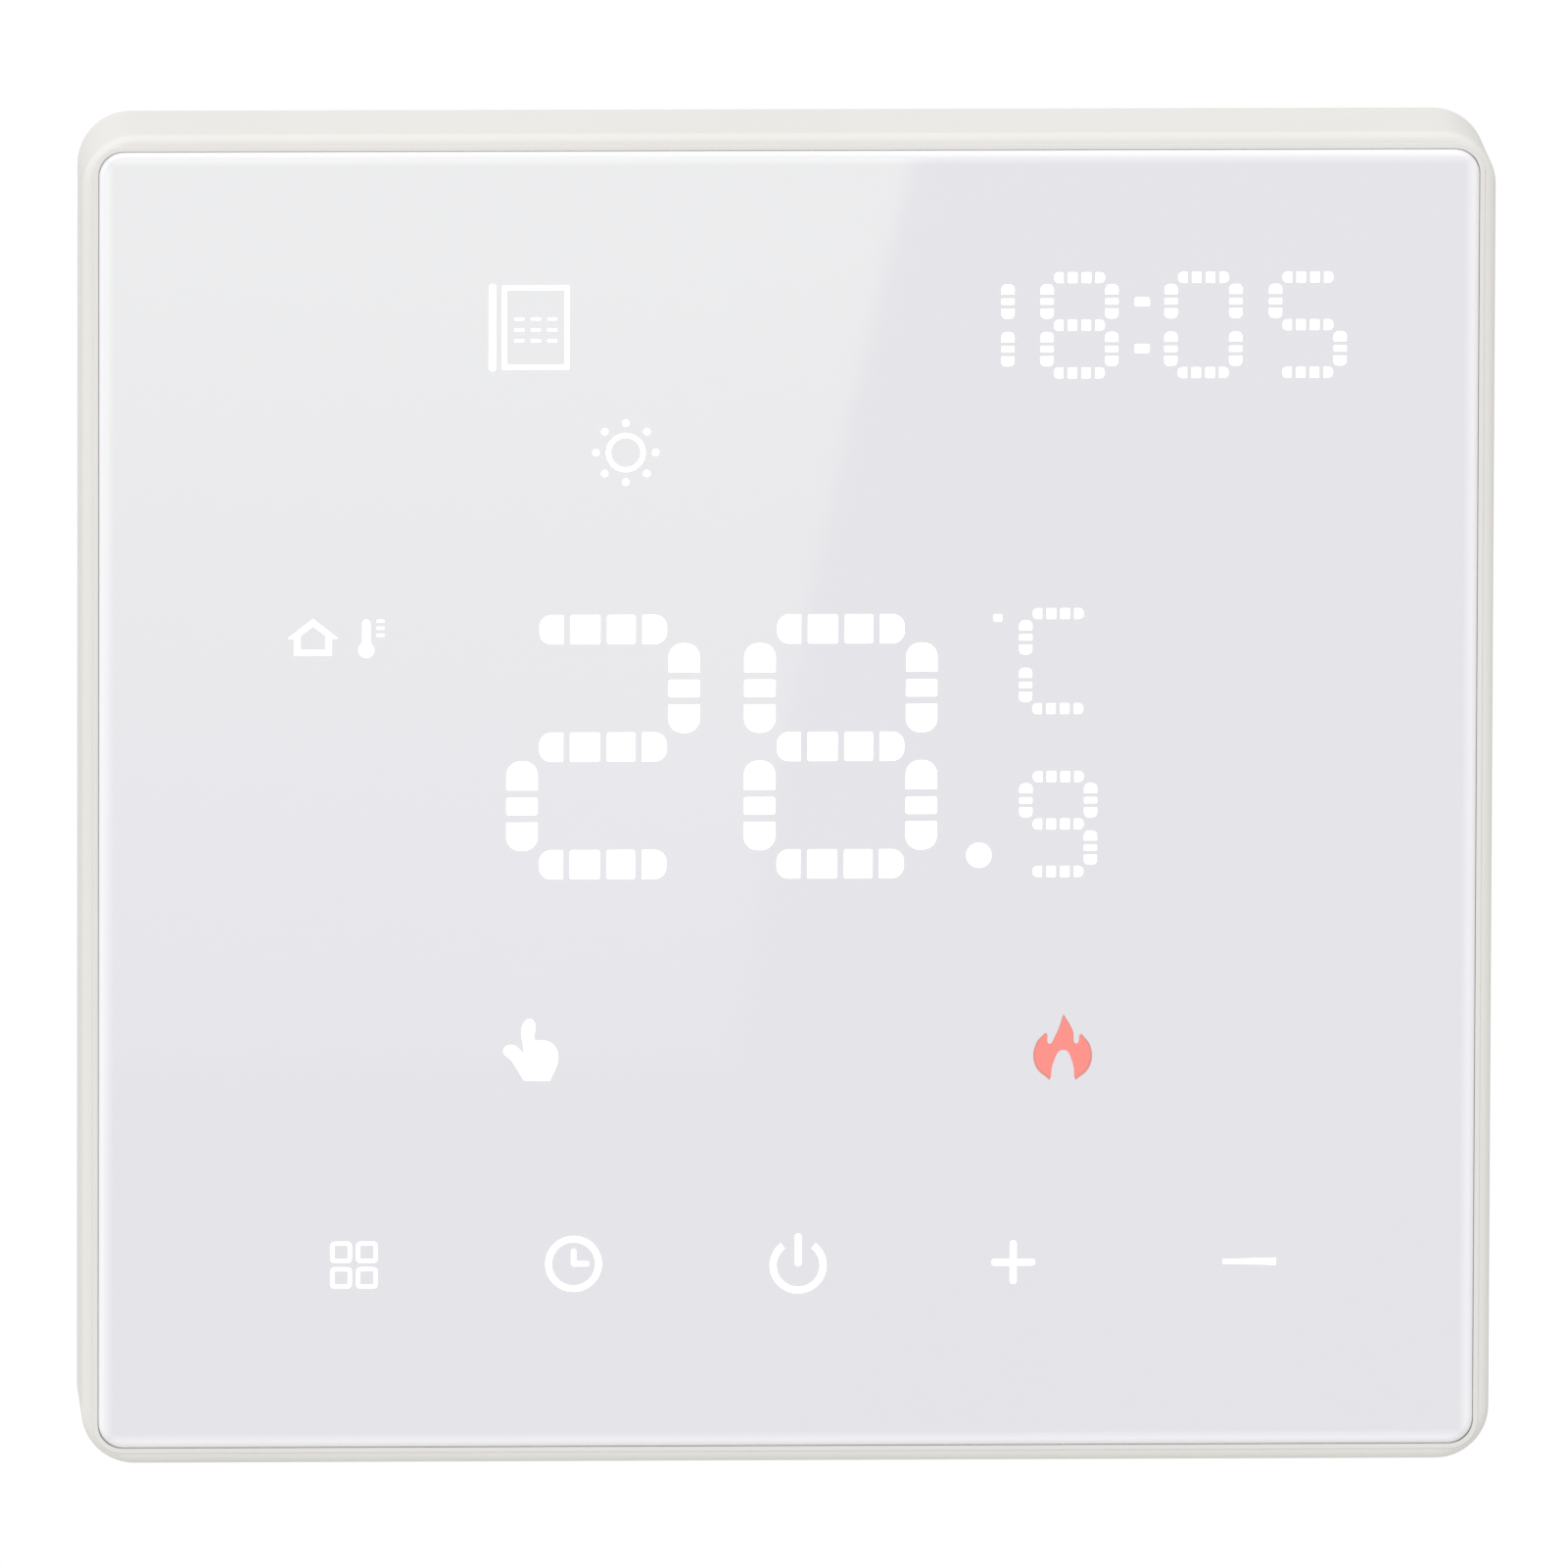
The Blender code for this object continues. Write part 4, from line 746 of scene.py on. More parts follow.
def mountingPlate():
    look = {"corner": 3 * mm, "edge": 0.22 * mm, "windowX": 18 * mm, "windowZ": 24 * mm, "seat": 27 * mm}
    low, high = span("mounting_plate")
    over = 1 * mm
    plate = roundedBlock("mountingPlate", low, high, look["corner"], 10)
    bevelWhere(plate, endAt(low.y), look["edge"], 3)
    bevelWhere(plate, endAt(high.y), look["edge"], 3)
    carve(plate, roundedBlock("seat", (-look["seat"], -0.3 * mm, -look["seat"]),
                              (look["seat"], over, look["seat"]), 2.5 * mm, 8))
    cuts = [roundedBlock("window", (-look["windowX"], low.y - over, -look["windowZ"]),
                         (look["windowX"], over, look["windowZ"]), 2.5 * mm, 8)]
    for number in range(1, 5):
        spot = middleOf(f"box_screw_{number}")
        cuts.append(addRod("hole", (spot.x, low.y - over, spot.z), (spot.x, over, spot.z), 1.55 * mm, 32))
    for name in ("wall_screw_left", "wall_screw_right"):
        x = middleOf(name).x
        cuts.append(roundedBlock("slot", (x - 1.95 * mm, low.y - over, -4 * mm),
                                 (x + 1.95 * mm, over, 4 * mm), 1.9 * mm, 10))
    # nail holes and pressed grooves along the rims
    for side in (-1, 1):
        for end in (-1, 1):
            spot = (side * 33.5 * mm, end * 29 * mm)
            cuts.append(addRod("nail", (spot[0], low.y - over, spot[1]), (spot[0], over, spot[1]), 1.5 * mm,
                               32))
            cuts.append(roundedBlock("press", (side * 33.6 * mm - 0.7 * mm, -0.35 * mm,
                                               end * 16 * mm - 6 * mm),
                                     (side * 33.6 * mm + 0.7 * mm, over,
                                      end * 16 * mm + 6 * mm), 0.68 * mm, 5))
    carve(plate, joinAll("cuts", cuts))
    finishPiece(plate, "wall_unit", metals["zincPlate"], ("mounting_plate",), 35)


def basePlate():
    look = {"rim": 1.6 * mm, "corner": 1.8 * mm, "floor": 1.7 * mm, "bead": 0.8 * mm, "rib": 0.35 * mm,
            "tongue": 0.7 * mm}
    hinge = frameJoint("front_swing")
    low, high = span("base_plate")
    halfX, halfZ, over = high.x, hinge.z + 0.1 * mm, 1 * mm
    floorFront = high.y - look["floor"]
    base = roundedBlock("basePlate", (-halfX, low.y, -halfZ), (halfX, high.y, halfZ), look["corner"], 10)
    bevelWhere(base, endAt(low.y), 0.4 * mm, 4)
    bevelWhere(base, endAt(high.y), 0.25 * mm, 3)
    rim = look["rim"]
    carve(base, roundedBlock("tray", (-halfX + rim, low.y - over, -halfZ + rim),
                             (halfX - rim, floorFront, halfZ - rim), 0.9 * mm, 6))
    ribs = []
    for x in (-34, -17, 17, 34):
        ribs.append(roundedBlock("rib", (x * mm - 0.4 * mm, floorFront - look["rib"], -34 * mm),
                                 (x * mm + 0.4 * mm, floorFront + 0.4 * mm, -9 * mm), 0.38 * mm, 4))
        ribs.append(roundedBlock("rib", (x * mm - 0.4 * mm, floorFront - look["rib"], 9 * mm),
                                 (x * mm + 0.4 * mm, floorFront + 0.4 * mm, 34 * mm), 0.38 * mm, 4))
    for rib in ribs:
        carve(base, rib, "UNION")
    cuts = []
    for name in ("wall_screw_left", "wall_screw_right"):
        x = middleOf(name).x
        cuts.append(addRod("access", (x, low.y, 0), (x, over, 0), 5 * mm, 64))
    linkLow, linkHigh = span("link_header")
    cuts.append(roundedBlock("link", (linkLow.x - mm, low.y, -22.27 * mm),
                             (linkHigh.x + mm, over, -17.73 * mm), 0.6 * mm, 4))
    for number in range(1, 5):
        spot = middleOf(f"box_screw_{number}")
        cuts.append(addRod("hole", (spot.x, low.y, spot.z), (spot.x, over, spot.z), 1.55 * mm, 40))
    carve(base, joinAll("cuts", cuts))
    for number in range(1, 5):
        spot = middleOf(f"box_screw_{number}")
        carve(base, addRod("sink", (spot.x, floorFront - 0.3 * mm, spot.z), (spot.x, floorFront + 1.25 * mm,
            spot.z), 3.1 * mm, 48, 1.55 * mm))
    for side in (-1, 1):
        x = side * 22 * mm
        bead = addRod("bead", (x - 4 * mm, hinge.y, hinge.z), (x + 4 * mm, hinge.y, hinge.z), look["bead"],
                      40)
        carve(base, bead, "UNION")
        carve(base, addBlock("notch", (x - 6 * mm, hinge.y + look["bead"], halfZ - mm),
                             (x + 6 * mm, over, halfZ + over)))
    tongue = addBlock("tongue", (-4 * mm, floorFront - 0.5 * mm, -halfZ - look["tongue"]),
                      (4 * mm, floorFront + 0.5 * mm, -halfZ + 0.8 * mm))
    bevelWhere(tongue, lambda first, second: first.z < -halfZ - 0.5 * mm and second.z < -halfZ - 0.5 * mm,
               0.25 * mm, 3)
    carve(base, tongue, "UNION")
    finishPiece(base, "wall_unit", plastics["baseWhite"], ("base_plate",), 40)


def boardCover():
    look = {"corner": mm, "rib": 1.2 * mm, "sheet": 1.5 * mm, "seat": 2.5 * mm, "seatDepth": 0.9 * mm,
            "slots": 11, "slotPitch": 3.6 * mm}
    low, high = span("board_cover")
    over = 1 * mm
    inner = high.y - look["sheet"]
    cover = roundedBlock("boardCover", low, high, look["corner"], 8)
    bevelWhere(cover, endAt(high.y), 0.4 * mm, 4)
    rib = look["rib"]
    carve(cover, addBlock("hollow", (low.x + rib, low.y - over, low.z + rib),
                          (high.x - rib, inner, high.z - rib)))
    cuts = []
    linkLow, linkHigh = span("link_header")
    cuts.append(roundedBlock("link", (linkLow.x - mm, inner - over, -22.27 * mm),
                             (linkHigh.x + mm, high.y + over, -17.73 * mm), 0.6 * mm, 4))
    for number in range(1, 5):
        spot = middleOf(f"cover_screw_{number}")
        cuts.append(addRod("hole", (spot.x, inner - over, spot.z), (spot.x, high.y + over, spot.z),
                           1.4 * mm, 40))
    for index in range(look["slots"]):
        x = (index - (look["slots"] - 1) / 2) * look["slotPitch"]
        cuts.append(roundedBlock("slot", (x - 0.6 * mm, inner - over, 22 * mm),
                                 (x + 0.6 * mm, high.y + over, 30 * mm), 0.58 * mm, 5))
    carve(cover, joinAll("cuts", cuts))
    for number in range(1, 5):
        spot = middleOf(f"cover_screw_{number}")
        carve(cover, addRod("seat", (spot.x, high.y - look["seatDepth"], spot.z),
                            (spot.x, high.y + over, spot.z), look["seat"], 48))
    carve(cover, roundedBlock("field", (-24 * mm, high.y - 0.2 * mm, -12 * mm),
                              (24 * mm, high.y + over, 16 * mm), 1.5 * mm, 6))
    finishPiece(cover, "front_unit", plastics["coverGrey"], ("board_cover",), 40)


def chipLegs(node, body, count, pitch):
    # gull-wing legs along the two sides of a flat chip, down to its board
    low, high = span(node)
    legs = []
    for index in range(count):
        z = middleOf(node).z + (index - (count - 1) / 2) * pitch
        for side, x in ((-1, low.x), (1, high.x)):
            out = side * 0.9 * mm
            legs.append(addBlock("leg", (min(x, x + out), low.y + 0.5 * mm, z - 0.16 * mm),
                                 (max(x, x + out), low.y + 0.68 * mm, z + 0.16 * mm)))
            legs.append(addBlock("foot", (min(x + out, x + out * 1.7), low.y - 0.05 * mm, z - 0.16 * mm),
                                 (max(x + out, x + out * 1.7), low.y + 0.13 * mm, z + 0.16 * mm)))
            legs.append(addBlock("drop", (min(x + out * 0.82, x + out * 1.02), low.y + 0.0 * mm,
                                          z - 0.15 * mm), (max(x + out * 0.82, x + out * 1.02),
                                              low.y + 0.66 * mm, z + 0.15 * mm)))
    dot = addRod("pinOne", (low.x + 1.2 * mm, high.y - 0.1 * mm, high.z - 1.2 * mm),
                 (low.x + 1.2 * mm, high.y + 0.02 * mm, high.z - 1.2 * mm), 0.4 * mm, 24)
    finishPiece(joinAll(node + "Legs", [*legs, dot]), body, metals["screwNickel"])


def filterCan():
    # electrolytic: sleeve rolled over a can with a scored vent and a pale stripe
    low, high = span("filter_capacitor")
    x, z = middleOf("filter_capacitor").x, middleOf("filter_capacitor").z
    radius = (high.x - low.x) / 2
    sleeve = addRod("filterSleeve", (x, low.y, z), (x, high.y, z), radius, 64)
    bevelWhere(sleeve, endAt(high.y), 0.5 * mm, 5)
    bevelWhere(sleeve, endAt(low.y), 0.3 * mm, 3)
    carve(sleeve, addRod("top", (x, high.y - 0.15 * mm, z), (x, high.y + mm, z), radius - 0.9 * mm, 64))
    finishPiece(sleeve, "wall_unit", plastics["sleeveBlack"], ("filter_capacitor",), 40)
    lid = addRod("filterLid", (x, high.y - 0.3 * mm, z), (x, high.y - 0.06 * mm, z), radius - 1.0 * mm, 64)
    for turn in (0, 90):
        tool = addBlock("score", (-2.2 * mm, -0.3 * mm, -0.14 * mm), (2.2 * mm, 0.02 * mm, 0.14 * mm))
        tool.data.transform(Matrix.Translation((x, high.y - 0.06 * mm + 0.1 * mm,
                                                z)) @ Matrix.Rotation(math.radians(turn), 4, "Y"))
        carve(lid, tool)
    finishPiece(lid, "wall_unit", metals["screwNickel"])
    stripe = addRod("filterStripe", (x, low.y + 0.6 * mm, z), (x, high.y - 0.6 * mm, z), radius + 0.03 * mm,
                    64)
    carve(stripe, addBlock("keep", (x - 6 * mm, low.y, z - 6 * mm), (x + 2.8 * mm, high.y, z + 6 * mm)))
    finishPiece(stripe, "wall_unit", plastics["filmWhite"])


def rimmedBody(node, body, material, edge, extras=()):
    # the same block with softly rounded edges, plus the small things on it
    low, high = span(node)
    block = addBlock(node + "Body", low, high)
    bevelWhere(block, lambda first, second: True, edge, 4)
    block = joinAll(node + "Body", [block, *extras])
    finishPiece(block, body, material, (node,), 40)


def smallParts():
    chipLegs("control_chip", "front_unit", 12, 0.75 * mm)
    chipLegs("driver_chip", "front_unit", 7, 0.75 * mm)
    filterCan()
    low, high = span("suppressor_capacitor")
    pips = [addRod("pip", (x, high.y - 0.2 * mm, low.z + 1.2 * mm),
                   (x, high.y + 0.1 * mm, low.z + 1.2 * mm), 0.45 * mm, 24)
            for x in (low.x + 1.4 * mm, high.x - 1.4 * mm)]
    rimmedBody("suppressor_capacitor", "wall_unit", plastics["boxYellow"], 0.5 * mm, pips)
    rimmedBody("control_chip", "front_unit", plastics["chipBlack"], 0.12 * mm)
    rimmedBody("driver_chip", "front_unit", plastics["chipBlack"], 0.12 * mm)
    rimmedBody("relay_base", "wall_unit", plastics["chipBlack"], 0.25 * mm)
    low, high = span("fuse")
    middle = middleOf("fuse")
    foot, top = Vector((middle.x, low.y, middle.z)), Vector((middle.x, high.y, middle.z))
    fuse = addRod("fuseCap", foot, top, (high.x - low.x) / 2, 64)
    bevelWhere(fuse, endAt(high.y), 0.5 * mm, 4)
    legs = [addRod("lead", foot + Vector((0, span("power_board")[0].y - 0.4 * mm - low.y, side * 2.5 * mm)),
                   foot + Vector((0, 0.2 * mm, side * 2.5 * mm)), 0.35 * mm, 20) for side in (-1, 1)]
    finishPiece(joinAll("fuseCap", [fuse, *legs]), "wall_unit", plastics["chipBlack"],
                ("fuse",), 40)
    varistor = addRod("varistorDisc", Vector((0, 0,
                                              span("varistor")[0].z)) + Vector((middleOf("varistor").x,
                                                  middleOf("varistor").y, 0)),
                      Vector((middleOf("varistor").x, middleOf("varistor").y,
                              span("varistor")[1].z)), 4 * mm, 64)
    bevelWhere(varistor, lambda first, second: abs(first.z - second.z) < 1e-7, 0.9 * mm, 6)
    legs = [addRod("lead", (middleOf("varistor").x + side * 2.5 * mm, span("power_board")[0].y - 0.4 * mm,
                            middleOf("varistor").z),
                   (middleOf("varistor").x + side * 2.5 * mm, middleOf("varistor").y,
                    middleOf("varistor").z), 0.4 * mm, 20) for side in (-1, 1)]
    finishPiece(joinAll("varistorDisc", [varistor, *legs]), "wall_unit", plastics["varistorBlue"],
                ("varistor",), 40)


def touchSprings():
    # smooth open coils, modelled once and copied to each touch place
    look = {"wire": 0.25 * mm, "radius": 3.2 * mm, "turns": 2.25, "steps": 64}
    names = ("menu", "clock", "power", "plus", "minus")
    low, high = span("touch_spring_menu")
    rise = high.y - low.y - 2 * look["wire"]
    freshen()
    bpy.ops.mesh.primitive_circle_add(vertices=12, radius=look["wire"],
                                      location=(look["radius"], 0, -rise / 2),
                                      rotation=(math.radians(90), 0, 0))
    coil = bakePlace(bpy.context.active_object)
    applyModifier(coil, "SCREW", axis="Z", angle=2 * math.pi * look["turns"], screw_offset=rise,
                  iterations=1,
                  steps=int(look["steps"] * look["turns"]), render_steps=int(look["steps"] * look["turns"]))
    pickOnly(coil)
    bpy.ops.object.mode_set(mode="EDIT")
    bpy.ops.mesh.select_all(action="SELECT")
    bpy.ops.mesh.fill_holes(sides=12)
    bpy.ops.mesh.normals_make_consistent(inside=False)
    bpy.ops.object.mode_set(mode="OBJECT")
    coil.data.transform(Matrix.Rotation(math.radians(90), 4, "X"))
    for name in names:
        spring = copyTo(coil, middleOf("touch_spring_" + name))
        spring.name = "coilSpring" + name.capitalize()
        finishPiece(spring, "front_unit", metals["springGold"], ("touch_spring_" + name,),
                    50)
    bpy.data.objects.remove(coil)


def ledChips():
    # one small lamp on the board behind each bar of each digit
    look = {"size": (1.7 * mm, 0.55 * mm, 0.85 * mm), "small": 0.55, "lens": 0.3 * mm}
    front = span("display_board")[0].y
    halfX, deep, halfZ = look["size"][0] / 2, look["size"][1], look["size"][2] / 2
    body = bevelWhere(addBlock("lamp", (-halfX, -deep, -halfZ), (halfX, 0.02 * mm, halfZ)), lambda first,
                      second: True, 0.08 * mm, 2)
    lens = addRod("lens", (0, -deep - 0.02 * mm, 0), (0, -deep + 0.1 * mm, 0), look["lens"], 24)
    bodies, lenses = [], []
    digits = [(-11.9, 3.2, 12.3, 17.0, 1.0), (3.3, 3.2, 12.3, 17.0, 1.0)]
    digits += [(x, z, 4.95, 6.85, look["small"]) for x, z in ((17.2, -1.9), (17.2, 8.7), (33.0, 30.5),
        (26.35, 30.5), (18.45, 30.5), (11.8, 30.5))]
    for x, z, width, height, scale in digits:
        inset = 2.0 if scale == 1.0 else 0.9
        across, up = (width - inset) / 2, (height - inset) / 2
        for shiftX, shiftZ, turned in ((0, up, 0), (0, 0, 0), (0, -up, 0), (-across, up / 2, 1),
                                       (across, up / 2, 1),
                                       (-across, -up / 2, 1), (across, -up / 2, 1)):
            place = Matrix.Translation(((x + shiftX) * mm, front, (z + shiftZ) * mm))
            turn = Matrix.Rotation(math.radians(90 * turned), 4, "Y") @ Matrix.Diagonal((scale, 1, scale,
                1))
            for template, made in ((body, bodies), (lens, lenses)):
                copied = copyTo(template, (0, 0, 0))
                copied.data.transform(place @ turn)
                made.append(copied)
    bpy.data.objects.remove(body)
    bpy.data.objects.remove(lens)
    finishPiece(joinAll("ledBodies", bodies), "front_unit", plastics["filmWhite"])
    finishPiece(joinAll("ledLenses", lenses), "front_unit", plastics["boxYellow"])


def relayCase():
    look = {"wall": 0.8 * mm, "edge": 0.45 * mm, "panel": 0.12 * mm}
    low, high = span("relay_case")
    wall, over = look["wall"], 1 * mm
    case = bevelWhere(addBlock("relayCase", low, high), lambda first,
                      second: max(first.y, second.y) > low.y + mm, look["edge"], 4)
    carve(case, addBlock("hollow", (low.x + wall, low.y - over, low.z + wall),
                         (high.x - wall, high.y - wall, high.z - wall)))
    carve(case, roundedBlock("panel", (low.x + 1.6 * mm, high.y - look["panel"], low.z + 1.6 * mm),
                             (high.x - 1.6 * mm, high.y + over, high.z - 1.6 * mm), 0.6 * mm, 4))
    plug = addRod("vent", (low.x + 2.6 * mm, high.y - 0.4 * mm, low.z + 2.6 * mm),
                  (low.x + 2.6 * mm, high.y + 0.05 * mm, low.z + 2.6 * mm), 0.55 * mm, 24)
    finishPiece(joinAll("relayCase", [case, plug]), "wall_unit", plastics["relayBlue"],
                ("relay_case",), 40)


def transformerWinding():
    # taped winding on a bobbin whose end plates carry the pins
    look = {"plate": 0.7 * mm, "edge": 0.7 * mm, "pins": 4}
    low, high = span("transformer_coil")
    coreLow, coreHigh = span("transformer_core")
    leg = 2.3 * mm
    middle = (low + high) / 2
    coil = bevelWhere(addBlock("transformerWinding", low, high), alongZ, look["edge"], 4)
    carve(coil, addBlock("bore", (middle.x - leg, low.y - mm, coreLow.z - 0.3 * mm),
                         (middle.x + leg, high.y + mm, coreHigh.z + 0.3 * mm)))
    finishPiece(coil, "wall_unit", plastics["boxYellow"], ("transformer_coil",), 40)
    plates = []
    for z, way in ((low.z, -1), (high.z, 1)):
        lowZ, highZ = sorted((z - way * 0.1 * mm, z + way * look["plate"]))
        plates.append(roundedBlock("plate", (low.x - 0.4 * mm, coreLow.y - 0.8 * mm, lowZ),
                                   (high.x + 0.4 * mm, high.y + 0.5 * mm, highZ), 0.3 * mm, 3))
        for index in range(look["pins"]):
            x = middle.x + (index - 1.5) * 2.5 * mm
            plates.append(addRod("pin", (x, span("power_board")[0].y - 0.3 * mm, (lowZ + highZ) / 2),
                                 (x, coreLow.y, (lowZ + highZ) / 2), 0.3 * mm, 16))
    finishPiece(joinAll("transformerBobbin", plates), "wall_unit", plastics["chipBlack"])


def solderJoints():
    # bright cones on the front of the power board, one under each lead
    front = span("power_board")[0].y
    spots = []
    for node, shifts in (("filter_capacitor", ((-1.8, 0), (1.8, 0))),
                         ("suppressor_capacitor", ((-5, 0), (5, 0))),
                         ("relay_base", ((-7.5, -5), (-7.5, 5), (0, 5.5), (6.5, -5), (6.5, 5))),
                         ("transformer_core", ((-5, -4), (-5, 4), (0, 4), (5, -4), (5, 4))), ("fuse",
                             ((0, -2.5), (0, 2.5)))):
        middle = middleOf(node)
        spots += [(middle.x + x * mm, middle.z + z * mm) for x, z in shifts]
    for number in range(1, 7):
        spot = middleOf(f"terminal_screw_{number}")
        spots += [(spot.x, spot.z - 2 * mm), (spot.x, spot.z + 2 * mm)]
    template = addRod("joint", (0, -0.75 * mm, 0), (0, 0.05 * mm, 0), 0.35 * mm, 20, 0.95 * mm)
    bevelWhere(template, endAt(-0.75 * mm), 0.2 * mm, 3)
    joints = [copyTo(template, (x, front, z)) for x, z in spots]
    bpy.data.objects.remove(template)
    finishPiece(joinAll("solderJoints", joints), "wall_unit", metals["screwNickel"])


powerBox()
mountingPlate()
basePlate()
boardCover()
print("box, plates and cover made")
smallParts()
touchSprings()
ledChips()
relayCase()
transformerWinding()
solderJoints()
print("small parts made")
terminalBlock()
placeScrews("wall", ["wall_screw_left", "wall_screw_right"], lambda index: "wall_unit")
placeScrews("box", [f"box_screw_{number}" for number in range(1, 5)], lambda index: "wall_unit")
placeScrews("cover", [f"cover_screw_{number}" for number in range(1, 5)], lambda index: "front_unit")
placeScrews("terminal", [f"terminal_screw_{number}" for number in range(1, 7)],
            lambda index: f"clamp_screw_{index + 1}")
print("terminals and screws made")


signDepth = 0.12 * mm
signLift = 0.012 * mm


def litCell(x, z, width, height, corner, segments=4, rounded=None):
    # a thin lit cell; rounded names the one end that is round, otherwise all four corners are
    corner = min(corner, 0.49 * min(width, height))
    front = panelFront - signLift
    cell = addBlock("cell", (x - width / 2, front, z - height / 2),
                    (x + width / 2, front + signDepth, z + height / 2))
    sides = {"left": (0, -1), "right": (0, 1), "down": (2, -1), "up": (2, 1)}
    middle = (x, 0, z)

    def onEnd(first, second):
        if not alongY(first, second):
            return False
        if rounded is None:
            return True
        axis, way = sides[rounded]
        return way * (first[axis] - middle[axis]) > 0
    return bevelWhere(cell, onEnd, corner, segments)


def litBar(x, z, look, upright):
    # one bar of a digit: a row of cells whose two outer ends are round
    cells, space, stroke = (look[key] for key in (("up", "upSpace", "upStroke") if upright
                                                   else ("across", "acrossSpace", "acrossStroke")))
    made = []
    total = sum(cells) + space * (len(cells) - 1)
    start = -total / 2
    for index, length in enumerate(cells):
        shift = start + length / 2
        start += length + space
        ends = ("up", "down") if upright else ("left", "right")
        end = ends[0] if index == 0 else ends[1] if index == len(cells) - 1 else None
        corner = stroke * (0.44 if end else 0.07)
        if upright:
            made.append(litCell(x, z - shift, stroke, length, corner, 6, end))
        else:
            made.append(litCell(x + shift, z, length, stroke, corner, 6, end))
    return made


barsOf = {"0": "abcdef", "1": "bc", "2": "abged", "5": "afgcd", "8": "abcdefg", "9": "abcdfg", "C": "afed"}
bigDigit = {"width": 12.3 * mm, "height": 17.0 * mm,
            "across": (1.5 * mm, 1.9 * mm, 1.8 * mm,
                       1.55 * mm), "acrossSpace": 0.45 * mm, "acrossStroke": 1.86 * mm,
            "up": (1.85 * mm, 1.1 * mm, 1.8 * mm), "upSpace": 0.5 * mm, "upStroke": 1.98 * mm}
smallDigit = {"width": 4.95 * mm, "height": 6.8 * mm,
              "across": (0.58 * mm,) * 4, "acrossSpace": 0.3 * mm, "acrossStroke": 0.68 * mm,
              "up": (0.62 * mm, 0.38 * mm, 0.62 * mm), "upSpace": 0.28 * mm, "upStroke": 0.82 * mm}


def litDigit(sign, x, z, look):
    side = (look["width"] - look["upStroke"]) / 2
    top = (look["height"] - look["acrossStroke"]) / 2
    spots = {
        "a": (0, top, False), "g": (0, 0, False), "d": (0, -top, False),
        "f": (-side, top / 2, True), "b": (side, top / 2, True),
        "e": (-side, -top / 2, True), "c": (side, -top / 2, True),
    }
    made = []
    for letter in barsOf[sign]:
        barX, barZ, upright = spots[letter]
        made += litBar(x + barX, z + barZ, look, upright)
    return made


def litRing(x, z, radius, line, opened=0.0, clockwise=False):
    # a ring, or with opened (degrees) a ring with a gap at its top
    front = panelFront - signLift
    turn = 360 - opened
    steps = 64
    freshen()
    bpy.ops.mesh.primitive_plane_add(size=1, location=(x, 0, z + radius), rotation=(0, 0, 0))
    slab = bpy.context.active_object
    slab.scale = (line, signDepth, 1)
    slab.rotation_euler = (0, math.radians(90), 0)
    bakePlace(slab)
    slab.data.transform(Matrix.Translation((0, front + signDepth / 2, 0)))
    start = Matrix.Translation((x, 0,
                                z)) @ Matrix.Rotation(math.radians(-opened / 2 if clockwise else opened / 2), 4, "Y")
    slab.data.transform(start @ Matrix.Translation((-x, 0, -z)))
    pickOnly(slab)
    bpy.ops.object.mode_set(mode="EDIT")
    bpy.ops.mesh.select_all(action="SELECT")
    bpy.ops.mesh.spin(steps=steps, angle=math.radians(turn), center=(x, 0, z), axis=(0, 1, 0))
    bpy.ops.mesh.select_all(action="SELECT")
    bpy.ops.mesh.remove_doubles(threshold=1e-7)
    bpy.ops.mesh.normals_make_consistent(inside=False)
    bpy.ops.object.mode_set(mode="OBJECT")
    return slab


def litFrame(x, z, width, height, line, corner):
    # the outline of a rounded rectangle
    frameCell = litCell(x, z, width, height, corner)
    inner = litCell(x, z, width - 2 * line, height - 2 * line, max(corner - line, 0.05 * mm))
    inner.data.transform(Matrix.Translation((x, 0, z)) @ Matrix.Diagonal((1, 40, 1,
        1)) @ Matrix.Translation((-x, 0, -z)))
    inner.data.transform(Matrix.Translation((0, -39 * (panelFront - signLift + signDepth / 2), 0)))
    return carve(frameCell, inner)


def litLine(x, z, length, line, degrees):
    cell = litCell(0, 0, length, line, line * 0.45)
    cell.data.transform(Matrix.Rotation(math.radians(-degrees), 4, "Y"))
    cell.data.transform(Matrix.Translation((x, 0, z)))
    return cell


def litOutline(name, points, depth=signDepth):
    # a flat outline in X and Z, made solid
    curve = bpy.data.curves.new(name, "CURVE")
    curve.dimensions = "2D"
    curve.fill_mode = "BOTH"
    curve.extrude = depth / 2
    for loop in points:
        line = curve.splines.new("BEZIER" if len(loop[0]) > 2 else "POLY")
        knots = line.bezier_points if len(loop[0]) > 2 else line.points
        knots.add(len(loop) - 1)
        for knot, place in zip(knots, loop):
            if len(loop[0]) > 2:
                knot.co = (place[0], place[1], 0)
                knot.handle_left_type = knot.handle_right_type = place[2]
            else:
                knot.co = (place[0], place[1], 0, 1)
        line.use_cyclic_u = True
        line.resolution_u = 8
    flat = bpy.data.objects.new(name, curve)
    bpy.context.collection.objects.link(flat)
    pickOnly(flat)
    bpy.ops.object.convert(target="MESH")
    flat = bpy.context.active_object
    pickOnly(flat)
    bpy.ops.object.mode_set(mode="EDIT")
    bpy.ops.mesh.select_all(action="SELECT")
    bpy.ops.mesh.remove_doubles(threshold=1e-7)
    bpy.ops.object.mode_set(mode="OBJECT")
    flat.data.transform(Matrix.Rotation(math.radians(90), 4, "X"))
    flat.data.transform(Matrix.Translation((0, panelFront - signLift + depth / 2, 0)))
    return flat


